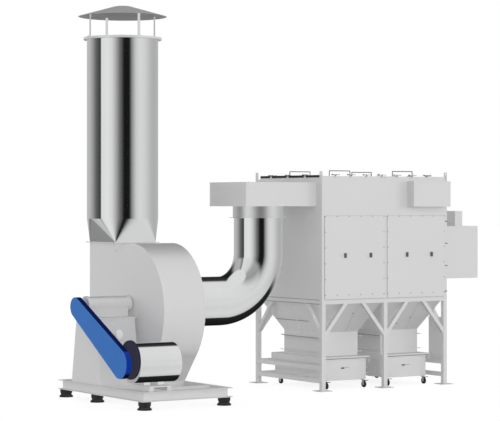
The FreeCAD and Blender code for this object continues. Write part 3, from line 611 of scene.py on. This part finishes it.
def shapeNut(look):
    # washer, hexagon nut and the end of its stud
    washer = makeRound("nutWasher", (0, 0, 0), up, look["washer"], look["washerThick"], 12)
    nut = makeRound("nut", (0, 0, look["washerThick"]), up, look["nut"], look["nutHigh"], 6)
    pickFacing(nut, up)
    bpy.ops.mesh.inset(thickness=look["margin"])
    pullFaces((0, 0, look["studHigh"]), look["studShare"])
    leaveEdit()
    return joinPieces([washer, nut], "nutTemplate")


screw = shapeScrew(screwLook)
smallScrew = shapeScrew(screwLook, 0.7)
nut = shapeNut(nutLook)


# doors

doorNodes = ("door_left", "door_right")
doorScrews = {"inset": 0.010, "low": 0.075, "rows": 6, "columns": 6}


def placeDoorScrews(look):
    spots = []
    for door in doorNodes:
        low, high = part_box(door)
        columns = spread(low.x + look["inset"], high.x - look["inset"], look["columns"])
        rows = spread(low.z + look["low"], high.z - look["inset"], look["rows"])
        spots += [((x, low.y, z), front) for x in columns for z in rows
                  if x in (columns[0], columns[-1]) or z in (rows[0], rows[-1])]
    finishPiece(copyTo(screw, spots, "doorScrews"), zinc)


placeDoorScrews(doorScrews)

doorLatch = {"along": (0.446, 1.018), "wide": 0.044, "edge": 0.004,
             "button": 0.012, "buttonProud": 0.006, "buttonEdge": 0.0015,
             "plateLong": 0.105, "plateHigh": 0.052, "plateThick": 0.005, "plateEdge": 0.002}


def placeDoorLatches(look):
    # dark quarter-turn housings with a pale pull plate to their left
    housings, plates = [], []
    low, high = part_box("door_latches")
    z = (low.z + high.z) / 2
    half, halfPlate = look["wide"] / 2, look["plateHigh"] / 2
    for door in doorNodes:
        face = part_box(door)[0]
        for along in look["along"]:
            x = face.x + along
            housings.append(softBlock("latchHousing", (x - half, low.y, low.z),
                                      (x + half, high.y, high.z), look["edge"]))
            housings.append(softRound("latchButton", (x, low.y, z), front, look["button"],
                                      look["buttonProud"], 16, look["buttonEdge"]))
            plates.append(softBlock("latchPlate", (x - half - look["plateLong"],
                                                   face.y - look["plateThick"], z - halfPlate),
                                    (x - half, face.y, z + halfPlate), look["plateEdge"]))
    dark = finishPiece(joinPieces(housings, "latchHousings"), blackSteel)
    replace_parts(dark, "door_latches")
    finishPiece(joinPieces(plates, "latchPlates"), whitePaint)


placeDoorLatches(doorLatch)

doorSeal = {"wide": 0.004, "proud": 0.006, "edge": 0.001}


def placeDoorSeals(look):
    # the seal that shows as a thin line round each door
    strips = []
    wide = look["wide"]
    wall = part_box("front_wall")[0].y
    for door in doorNodes:
        low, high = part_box(door)
        for x0, z0, x1, z1 in ((low.x - wide, low.z - wide, high.x + wide, low.z),
                               (low.x - wide, high.z, high.x + wide, high.z + wide),
                               (low.x - wide, low.z, low.x, high.z),
                               (high.x, low.z, high.x + wide, high.z)):
            strips.append(softBlock("sealStrip", (x0, wall - look["proud"], z0), (x1, wall, z1),
                                    look["edge"], 1))
    finishPiece(joinPieces(strips, "doorSeals"), zinc)


placeDoorSeals(doorSeal)
print("doors dressed")


# roof: beads with painted shade on one lid edge, joint, clamps

lidBeadAndShade = {"below": 0.004, "above": 0.018, "proud": 0.008, "edge": 0.005}


def placeLidBeadsAndShade(look):
    # the rubber bead clipped over the lids' edges on the two short sides; on the left it rises over
    # the whole lid edge to darken it, which is painted shade
    low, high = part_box("roof_lids")
    strips = []
    # the left strip stands above the lid top as painted shade on that edge; the right one stays
    # below the lid top
    for x, top in ((low.x, high.z + look["above"]), (high.x, high.z - look["below"])):
        strips.append(softBlock("beadShadeStrip", (x - look["proud"], low.y, low.z - look["below"]),
                                (x + look["proud"], high.y, top), look["edge"], 3))
    finishPiece(joinPieces(strips, "lidBeadsAndShade"), rubber)


placeLidBeadsAndShade(lidBeadAndShade)


def fillCurbJoint():
    # the cover strip between the two roof curbs
    low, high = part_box("roof_lids")
    middle = (low.x + high.x) / 2
    edges = [corner.co.x for corner in nodes["roof_lids"].data.vertices]
    strip = makeBlock("curbJoint", (max(x for x in edges if x < middle), low.y,
                                    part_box("roof_deck")[0].z),
                      (min(x for x in edges if x > middle), high.y, low.z))
    finishPiece(strip, whitePaint)


fillCurbJoint()

lidClamp = {"reach": 0.15, "foot": (0.052, 0.020, 0.024), "footUnder": 0.004, "edge": 0.002,
            "tongue": (0.030, 0.062, 0.007), "tongueBack": 0.002, "boltOut": 0.013,
            "bolt": 0.006, "boltTop": 3.930, "nut": 0.013, "nutHigh": 0.012, "nutEdge": 0.001,
            "lever": 0.006, "leverEnd": 0.085, "leverLong": 0.140, "leverTip": (0.012, 0, -0.004),
            "grip": 0.011, "gripLong": 0.034, "gripEdge": 0.004}


def shapeClamp(look, lidTop):
    # hold-down clamp with its back at the origin: foot and bolt, tongue, nut and lever, grip
    wide, deep, high = look["foot"]
    tongueWide, tongueLong, tongueThick = look["tongue"]
    out, edge = look["boltOut"], look["edge"]
    footTop = lidTop - look["footUnder"]
    overLid = lidTop + tongueThick
    leverZ = overLid + look["nutHigh"] + look["lever"]
    foot = softBlock("clampFoot", (-wide / 2, 0, footTop - high), (wide / 2, deep, footTop), edge)
    tongue = softBlock("clampTongue", (-tongueWide / 2, -look["tongueBack"], lidTop),
                       (tongueWide / 2, tongueLong, overLid), edge)
    bolt = makeRound("clampBolt", (0, out, footTop), up, look["bolt"],
                     look["boltTop"] - footTop, 12)
    holdNut = softRound("clampNut", (0, out, overLid), up, look["nut"], look["nutHigh"], 6,
                        look["nutEdge"], 1)
    lever = makeRound("clampLever", (look["leverEnd"], out, leverZ), left, look["lever"],
                      look["leverLong"], 10)
    pickFacing(lever, right)
    pullFaces(look["leverTip"])
    leaveEdit()
    grip = softRound("clampGrip", (look["leverEnd"] - look["leverLong"], out, leverZ), left,
                     look["grip"], look["gripLong"], 12, look["gripEdge"])
    return (joinPieces([foot, bolt], "clampBody"),
            joinPieces([tongue, holdNut, lever], "clampSteel"), grip)


def placeLidClamps(look):
    # one at each packed clamp, turned with its back to the outside
    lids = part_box("roof_lids")
    centre = (lids[0] + lids[1]) / 2
    templates = shapeClamp(look, lids[1].z)
    spots = []
    for low, high in blockBoxes("lid_clamps", look["reach"]):
        middle = (low + high) / 2
        if high.x - low.x > high.y - low.y:
            turn, y = (0, low.y) if middle.y < centre.y else (math.pi, high.y)
            spots.append(((middle.x, y, 0), turn))
        else:
            turn, x = (-math.pi / 2, low.x) if middle.x < centre.x else (math.pi / 2, high.x)
            spots.append(((x, middle.y, 0), turn))
    feet, levers, grips = [copyTurned(template, spots, name) for template, name
                           in zip(templates, ("clampFeet", "clampLevers", "clampGrips"))]
    dropTemplates(*templates)
    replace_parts(finishPiece(feet, whitePaint), "lid_clamps")
    finishPiece(levers, zinc)
    finishPiece(grips, blackSteel)


placeLidClamps(lidClamp)
print("roof dressed")


# small hardware on the collector body

edgeStuds = {"heights": (3.060, 2.646, 2.230, 1.749), "long": 0.058, "radius": 0.006,
             "past": 0.012, "edge": 0.0015, "collar": 0.011, "collarLong": 0.012,
             "collarIn": 0.010}


def placeEdgeStuds(look):
    # draw bolts across the front right corner
    low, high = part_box("front_wall")
    x, y = high.x + look["past"] - look["long"], low.y - look["radius"]
    studs = []
    for z in look["heights"]:
        studs.append(softRound("edgeStud", (x, y, z), right, look["radius"], look["long"], 10,
                               look["edge"]))
        studs.append(makeRound("edgeStudCollar", (x + look["collarIn"], y, z), right,
                               look["collar"], look["collarLong"], 6))
    finishPiece(joinPieces(studs, "edgeStuds"), blackSteel)


placeEdgeStuds(edgeStuds)

boxScrews = {"edge": 0.020, "ends": 0.060}


def placeBoxScrews(look):
    # on the valve box, on top of the plenum and on the inlet box
    edge, ends = look["edge"], look["ends"]
    low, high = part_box("valve_box")
    spots = [((high.x, low.y + edge, z), right) for z in spread(low.z + edge, high.z - edge, 3)]
    spots += [((x, low.y + edge, low.z), down) for x in spread(low.x + edge, high.x - edge, 4)]
    low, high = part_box("outlet_plenum")
    for x in spread(low.x + ends, high.x - ends, 5):
        spots += [((x, y, high.z), up) for y in (low.y + edge, high.y - edge)]
    low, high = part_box("inlet_box")
    for z in spread(low.z + edge, high.z - edge, 4):
        spots += [((high.x, y, z), right) for y in (low.y + edge, high.y - edge)]
    finishPiece(copyTo(smallScrew, spots, "boxScrews"), zinc)


placeBoxScrews(boxScrews)

flangeScrews = {"inset": 0.020, "outletX": 5, "outletY": 6, "ring": 16, "ringIn": 0.030}


def placeFlangeNuts(look):
    # bolts round the fan's outlet flange and nuts round its inlet ring
    low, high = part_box("outlet_flange")
    inset = look["inset"]
    spots = []
    for x in spread(low.x + inset, high.x - inset, look["outletX"]):
        spots += [((x, y, high.z), up) for y in (low.y + inset, high.y - inset)]
    for y in spread(low.y + inset, high.y - inset, look["outletY"])[1:-1]:
        spots += [((x, y, high.z), up) for x in (low.x + inset, high.x - inset)]
    finishPiece(copyTo(smallScrew, spots, "outletBolts"), zinc)
    low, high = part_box("inlet_ring")
    circle = (high.y - low.y) / 2 - look["ringIn"]
    spots = ringSpots(high.x, (low + high) / 2, circle, look["ring"], right)
    finishPiece(copyTo(nut, spots, "flangeNuts"), zinc)


placeFlangeNuts(flangeScrews)

hopperLook = {
    "bolts": ((1.163, -0.416, 1.378), (2.549, -0.319, 1.258), (2.295, -0.236, 1.155)),
    "frontFall": (0, -0.78, -0.63),
    "sideBolt": (0.528, -0.190, 1.223),
    "sideFall": (-0.92, 0, -0.38),
    "ribFrom": 0.100, "ribTo": 1.190, "ribAt": (0.527, 1.227), "ribWide": 0.009,
    "ribProud": 0.004, "ribSunk": 0.002, "ribEdge": 0.0015,
}


def dressHoppers(look):
    # bolt heads on the sloping fronts, and a dark bar along the left slope at a joint line, whose
    # dark colour is painted shade of that joint
    spots = [(place, look["frontFall"]) for place in look["bolts"]]
    spots.append((look["sideBolt"], look["sideFall"]))
    finishPiece(copyTo(screw, spots, "hopperBolts"), blackSteel)
    half, halfWide = (look["ribTo"] - look["ribFrom"]) / 2, look["ribWide"] / 2
    rib = softBlock("shadeBarTemplate", (-half, -halfWide, -look["ribSunk"]),
                    (half, halfWide, look["ribProud"]), look["ribEdge"])
    x, z = look["ribAt"]
    spot = ((x, look["ribFrom"] + half, z), look["sideFall"])
    # the bar is black steel as painted shade: it stands for the shadow line of the joint
    finishPiece(copyTo(rib, [spot], "hopperShadeBar"), blackSteel)
    dropTemplates(rib)


dressHoppers(hopperLook)

# sizes of the black strips under the spouts' flange bars, which are painted shade
spoutShade = {"thick": 0.007, "under": 0.934, "out": 0.058, "edge": 0.002, "rimDepth": 0.002}


def spoutSides(look):
    # the box of each spout's own walls, without flanges, from the corners of its upper rim
    low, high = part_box("hopper_spouts")
    middle = (low.x + high.x) / 2
    rim = [corner.co for corner in nodes["hopper_spouts"].data.vertices
           if corner.co.z > high.z - look["rimDepth"]]
    return (boxOf([place for place in rim if place.x < middle]),
            boxOf([place for place in rim if place.x > middle]))


def placeSpoutShadeStrips(look):
    # a strip in black rubber under the upper flange bars of the spouts: painted shade where the
    # flanges cast their shadow
    strips = []
    for low, high in spoutSides(look):
        for x0, x1 in ((low.x - look["out"], low.x), (high.x, high.x + look["out"])):
            strips.append(softBlock("spoutShadeStrip", (x0, low.y, look["under"] - look["thick"]),
                                    (x1, high.y, look["under"]), look["edge"]))
    finishPiece(joinPieces(strips, "spoutShadeStrips"), rubber)


placeSpoutShadeStrips(spoutShade)

wallJointAndShade = {"high": 0.006, "proud": 0.0015, "fromCorner": 0.08, "edge": 0.0006}


def drawWallJointsAndShade(look):
    # the sealed joints along the upper edge of the ring beams; on the sides a second dark strip
    # along the lower edge too, which is painted shade under the beams
    low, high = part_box("ring_beams")
    proud, tall, gap, edge = look["proud"], look["high"], look["fromCorner"], look["edge"]
    # on the sides the lower strips are painted shade under the beams; the upper ones are the joints
    sides = [softBlock("jointAndShadeSide", (x - proud, low.y + gap, z - tall),
                       (x + proud, high.y - gap, z), edge, 1)
             for z in (low.z + tall, high.z) for x in (low.x, high.x)]
    fronts = [softBlock("jointFront", (low.x + gap, y - proud, high.z - tall),
                        (high.x - gap, y + proud, high.z), edge, 1) for y in (low.y, high.y)]
    finishPiece(joinPieces(sides, "wallJointsAndShadeSide"), rubber)
    finishPiece(joinPieces(fronts, "wallJointsFront"), zinc)


drawWallJointsAndShade(wallJointAndShade)
print("body hardware placed")


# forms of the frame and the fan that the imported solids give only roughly

braceLook = {"reach": 0.500, "drop": 0.610, "size": 0.070, "leg": 0.080, "past": 0.020,
             "edge": 0.004}


def shapeBraces(look):
    # square-tube knee braces cut flush to the legs and to the beams above them
    reach, drop, size, leg = look["reach"], look["drop"], look["size"], look["leg"]
    tall = size * math.hypot(reach, drop) / reach
    long = reach + look["past"]
    brace = makeBlock("brace", (0, -size / 2, 0), (long, size / 2, tall))
    pickFacing(brace, right)
    bpy.ops.transform.translate(value=(0, 0, drop * long / reach))
    bpy.ops.mesh.select_all(action="SELECT")
    bpy.ops.mesh.bisect(plane_co=(0, 0, drop), plane_no=(0, 0, 1), use_fill=True,
                        clear_outer=True)
    leaveEdit()
    softenEdges(brace, look["edge"])
    low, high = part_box("ring_beams")
    z = low.z - drop
    middleLeg = (low.x + high.x) / 2
    spots = []
    for y in (low.y + leg / 2, high.y - leg / 2):
        spots += [((low.x + leg, y, z), 0), ((middleLeg - leg / 2, y, z), math.pi),
                  ((middleLeg + leg / 2, y, z), 0), ((high.x - leg, y, z), math.pi)]
    for x in (low.x + leg / 2, high.x - leg / 2):
        spots += [((x, low.y + leg, z), math.pi / 2), ((x, high.y - leg, z), -math.pi / 2)]
    braces = copyTurned(brace, spots, "kneeBraces")
    dropTemplates(brace)
    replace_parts(finishPiece(braces, whitePaint), "knee_braces")


shapeBraces(braceLook)

panelLook = {"wide": 0.470, "top": 1.250, "fold": 0.020, "dish": (-0.004, 0, 0), "edge": 0.003}


def shapeCablePanel(look):
    # folded sheet panel on the right of the frame
    low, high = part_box("cable_panel")
    panel = makeBlock("cablePanel", low, (high.x, low.y + look["wide"], look["top"]))
    pickFacing(panel, right)
    dishFaces(look["fold"], look["dish"])
    leaveEdit()
    softenEdges(panel, look["edge"])
    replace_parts(finishPiece(panel, whitePaint), "cable_panel")


shapeCablePanel(panelLook)

guardLook = {"top": (0.121, 1.618, 0.169), "low": (-1.434, 0.746, 0.248), "face": 0.004,
             "rimEdge": 0.003, "faceEdge": 0.0016, "sides": 64, "flat": 1}


def shapeSlot(name, look, x0, x1, edge):
    # a tapered slot plate: two discs closed round by their hull
    plate = joinPieces([makeRound("slotEnd", (x0, y, z), right, radius, x1 - x0, look["sides"])
                        for y, z, radius in (look["top"], look["low"])], name)
    soloSelect(plate)
    bpy.ops.object.mode_set(mode="EDIT")
    bpy.ops.mesh.select_all(action="SELECT")
    bpy.ops.mesh.convex_hull()
    bpy.ops.mesh.select_all(action="SELECT")
    bpy.ops.mesh.dissolve_limited(angle_limit=math.radians(look["flat"]))
    leaveEdit()
    return softenEdges(plate, edge)


def shapeGuard(look):
    # belt guard: blue face sheet on a rim in a deeper copy of the same blue, which is painted shade
    # on the guard's edge
    low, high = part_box("belt_guard")
    between = low.x + look["face"]
    rim = shapeSlot("guardRim", look, between, high.x, look["rimEdge"])
    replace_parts(finishPiece(rim, blueEnamelPaintedShade), "belt_guard")
    face = shapeSlot("guardFace", look, low.x, between, look["faceEdge"])
    finishPiece(face, blueEnamel)


shapeGuard(guardLook)

discLook = {"centre": (-1.521, 0.812), "radius": 0.325, "sides": 72, "rim": 0.020,
            "slope": 0.010, "dish": (0.004, 0, 0), "edge": 0.003}


def shapeMotorDisc(look):
    # the motor's end disc, with a shallow dish on the side of the belt guard; its navy is the dark
    # paint made darker still, as painted shade behind the guard
    low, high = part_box("motor_disc")
    disc = makeRound("motorDisc", (low.x, *look["centre"]), right, look["radius"],
                     high.x - low.x, look["sides"])
    pickFacing(disc, left)
    bpy.ops.mesh.inset(thickness=look["rim"])
    dishFaces(look["slope"], look["dish"])
    leaveEdit()
    softenEdges(disc, look["edge"])
    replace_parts(finishPiece(disc, navyEnamelAndShade), "motor_disc")


shapeMotorDisc(discLook)

stayLook = {"turn": -2.7, "wide": 0.050, "thick": 0.008, "tip": 0.030, "foot": 0.058,
            "overlap": 0.001, "edge": 0.001, "boltOut": 0.035, "bolt": 0.010, "boltHigh": 0.008}


def shapeStays(look):
    # four flat bars from the stack's top ring up into the rain cap, each with a turned foot
    low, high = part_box("stack_pipe")
    middle = (low + high) / 2
    radius = (high.x - low.x) / 2
    half, thick = look["wide"] / 2, look["thick"]
    stay = makeBlock("stay", (radius, -half, high.z),
                     (radius + thick, half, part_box("rain_cap")[0].z))
    pickFacing(stay, up)
    pullFaces((-thick / 2, 0, look["tip"]))
    leaveEdit()
    softenEdges(stay, look["edge"], 1)
    foot = softBlock("stayFoot", (radius + thick - look["overlap"], -half, high.z),
                     (radius + look["foot"], half, high.z + thick), look["edge"], 1)
    bolt = makeRound("stayBolt", (radius + look["boltOut"], 0, high.z + thick), up,
                     look["bolt"], look["boltHigh"], 6)
    template = joinPieces([stay, foot, bolt], "stayTemplate")
    stays = copyTurned(template, [((middle.x, middle.y, 0), math.radians(look["turn"] + 90 * i))
                                  for i in range(4)], "capStays")
    dropTemplates(template)
    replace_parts(finishPiece(stays, stainless), "cap_stays")


shapeStays(stayLook)

saddleLook = {"halfLow": 0.500, "halfHigh": 0.856, "high": 0.430, "shaftY": 0.124,
              "inset": 0.001, "edge": 0.002}


def shapeSaddle(look):
    # the sheet-metal saddle under the scroll, with ends that lean out to touch the wrapper
    x0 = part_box("scroll_drive_side")[0].x + look["inset"]
    x1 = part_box("scroll_inlet_side")[1].x - look["inset"]
    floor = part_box("base_frame")[1].z
    middle, half = look["shaftY"], look["halfLow"]
    saddle = makeBlock("scrollSaddle", (x0, middle - half, floor),
                       (x1, middle + half, floor + look["high"]))
    pickFacing(saddle, up)
    bpy.ops.transform.resize(value=(1, look["halfHigh"] / half, 1))
    leaveEdit()
    softenEdges(saddle, look["edge"])
    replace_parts(finishPiece(saddle, whitePaint), "scroll_feet")


shapeSaddle(saddleLook)
print("frame and fan forms shaped")


# dust bins: latch, side handle, castor hardware

rimOut = 0.012   # how far the bins' rim stands out from their walls

binLatch = {"fromLeft": 0.391, "height": 0.375, "block": (0.064, 0.016, 0.026), "edge": 0.004,
            "rod": 0.004, "rodUp": 0.006, "rodLong": 0.150, "rodEdge": 0.001}


def placeBinLatch(look, side, low):
    # dark latch block on the bin's front with a thin lever to the right
    wide, deep, tall = look["block"]
    x, y, z = low.x + rimOut + look["fromLeft"], low.y + rimOut, look["height"]
    housing = softBlock("binLatch_" + side, (x - wide / 2, y - deep, z - tall / 2),
                        (x + wide / 2, y, z + tall / 2), look["edge"])
    finishPiece(housing, blackSteel, "bin_" + side)
    lever = softRound("binLever_" + side, (x, y - deep / 2, z + look["rodUp"]), right,
                      look["rod"], look["rodLong"], 10, look["rodEdge"])
    finishPiece(lever, zinc, "bin_" + side)


binHandle = {"alongY": 0.243, "low": 0.195, "high": 0.310, "rod": 0.009, "stub": 0.0252,
             "bend": 0.028, "off": 0.001, "pad": 0.014, "padThick": 0.004, "padEdge": 0.001}


def placeBinHandle(look, side, low):
    # a round bar bent to a D on the bin's left: a stub, turned up by spin, then mirrored upwards
    wall, y, z = low.x + rimOut, look["alongY"], look["low"]
    middle = (z + look["high"]) / 2
    bar = makeRound("handleLow", (wall + look["off"], y, z), left, look["rod"], look["stub"], 12)
    pickFacing(bar, left)
    bpy.ops.mesh.spin(steps=6, angle=math.pi / 2, axis=(0, 1, 0),
                      center=(wall - look["stub"] + look["off"], y, z + look["bend"]))
    pullFaces((0, 0, middle - z - look["bend"]))
    leaveEdit()
    flip = Matrix.Translation((0, 0, 2 * middle)) @ Matrix.Diagonal((1, 1, -1, 1))
    twin = layCopies(bar, [flip], "handleHigh")
    bpy.ops.object.mode_set(mode="EDIT")
    bpy.ops.mesh.select_all(action="SELECT")
    bpy.ops.mesh.normals_make_consistent(inside=False)
    leaveEdit()
    pads = [softRound("handlePad", (wall, y, height), left, look["pad"], look["padThick"], 16,
                      look["padEdge"]) for height in (z, look["high"])]
    finishPiece(joinPieces([bar, twin] + pads, "binHandle_" + side), whitePaint, "bin_" + side)


for side in ("left", "right"):
    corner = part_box("dust_bin_" + side)[0]
    placeBinLatch(binLatch, side, corner)
    placeBinHandle(binHandle, side, corner)

castorLook = {"hub": 0.030, "hubProud": 0.0012, "hubRim": 0.006, "hubSlope": 0.008,
              "hubDish": 0.001, "nut": 0.011, "nutThick": 0.0045, "nutOut": 0.024,
              "nutEdge": 0.0008, "pedal": (0.046, 0.020, 0.011), "pedalOut": 0.030,
              "pedalDown": 0.022, "pedalLong": 0.042, "pedalRises": (0.002, 0.006),
              "pedalEdge": 0.002}


def placeHubs(look, wheelName, low, high, middle):
    hubs = []
    for x, way in ((low.x, left), (high.x, right)):
        hub = makeRound("hubCap", (x, middle.y, middle.z), way, look["hub"], look["hubProud"], 24)
        pickFacing(hub, way)
        bpy.ops.mesh.inset(thickness=look["hubRim"])
        dishFaces(look["hubSlope"], Vector(way) * -look["hubDish"])
        leaveEdit()
        hubs.append(hub)
    finishPiece(joinPieces(hubs, wheelName + "_hubs"), rubber, wheelName)


def placeAxleNuts(look, wheelName, carrier, middle):
    nuts = [softRound("axleNut", (middle.x + out, middle.y, middle.z), way, look["nut"],
                      look["nutThick"], 6, look["nutEdge"], 1)
            for out, way in ((-look["nutOut"], left), (look["nutOut"], right))]
    finishPiece(joinPieces(nuts, wheelName + "_nuts"), zinc, carrier)


def placePedal(look, wheelName, carrier, middle):
    # brake pedal over a front wheel, stepping up towards its end
    wide, deep, thick = look["pedal"]
    y, z = middle.y - look["pedalOut"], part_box(carrier)[1].z - look["pedalDown"]
    pedal = makeBlock(wheelName + "_brake", (middle.x - wide / 2, y, z),
                      (middle.x + wide / 2, y + deep, z + thick))
    pickFacing(pedal, front)
    for rise in look["pedalRises"]:
        pullFaces((0, -look["pedalLong"], rise))
    leaveEdit()
    softenEdges(pedal, look["pedalEdge"])
    finishPiece(pedal, rubber, carrier)


for side in ("left", "right"):
    for end in ("front", "rear"):
        for hand in ("left", "right"):
            wheelName = "bin_" + side + "_wheel_" + end + "_" + hand
            carrier = "bin_" + side + ("_castor_" + hand if end == "front" else "")
            low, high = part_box(wheelName)
            placeHubs(castorLook, wheelName, low, high, (low + high) / 2)
            placeAxleNuts(castorLook, wheelName, carrier, (low + high) / 2)
            if end == "front":
                placePedal(castorLook, wheelName, carrier, (low + high) / 2)
print("bins dressed")


# fan, motor and isolators

bearingScrews = {"count": 6, "circle": 0.118}


def dressBearings(look):
    # screws round both ends of the bearing housing
    low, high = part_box("bearing_housing")
    middle = (low + high) / 2
    centre = Vector((middle.x, middle.y, high.z - (high.y - low.y) / 2))
    spots = []
    for x, way in ((low.x, left), (high.x, right)):
        spots += ringSpots(x, centre, look["circle"], look["count"], way)
    finishPiece(copyTo(smallScrew, spots, "bearingScrews"), zinc)


dressBearings(bearingScrews)

isolatorNut = {"flange": 0.010, "reach": 0.35}


def dressIsolators(look):
    # the fixing nut of each isolator on the base flange above it
    spots = [(((low.x + high.x) / 2, (low.y + high.y) / 2, high.z + look["flange"]), up)
             for low, high in blockBoxes("rubber_isolators", look["reach"])]
    finishPiece(copyTo(nut, spots, "isolatorNuts"), zinc)


dressIsolators(isolatorNut)

blankCap = {"place": (-3.675, -0.2685, 1.148), "faces": (0, -0.988, 0.154), "radius": 0.084,
            "sunk": 0.012, "thick": 0.006, "domes": ((0.021, 0.006), (0.0294, 0.004)),
            "edge": 0.002}


def fitBlankCap(look):
    # the domed plug pressed into the hole of the pedestal's front plate
    cap = makeRound("capTemplate", (0, 0, -look["sunk"]), up, look["radius"],
                    look["sunk"] + look["thick"], 32)
    pickFacing(cap, up)
    for margin, rise in look["domes"]:
        dishFaces(margin, (0, 0, rise))
    leaveEdit()
    softenEdges(cap, look["edge"])
    plug = copyTo(cap, [(look["place"], look["faces"])], "blankCap")
    dropTemplates(cap)
    finishPiece(plug, satinSteel)


fitBlankCap(blankCap)

cowlLook = {"inset": 0.012, "rings": 5, "proud": 0.006, "groove": 0.004,
            "slope": 0.4, "floor": 0.6, "rise": 0.1}


def dressMotor(look):
    # the ventilated end of the motor, away from the belt: rings of grooves
    low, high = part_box("motor_body")
    radius = (high.y - low.y) / 2
    centre = (high.x, (low.y + high.y) / 2, high.z - radius)
    cowl = makeRound("motorCowl", centre, right, radius - look["inset"], look["proud"], 48)
    pickFacing(cowl, right)
    step = (radius - look["inset"]) / (2 * look["rings"] + 2)
    for ring in range(look["rings"]):
        bpy.ops.mesh.inset(thickness=step)
        dishFaces(step * look["slope"], (-look["groove"], 0, 0))
        bpy.ops.mesh.inset(thickness=step * look["floor"])
        dishFaces(step * look["rise"], (look["groove"], 0, 0))
    leaveEdit()
    finishPiece(cowl, stainless)


dressMotor(cowlLook)
dropTemplates(screw, smallScrew, nut)
print("fan dressed")
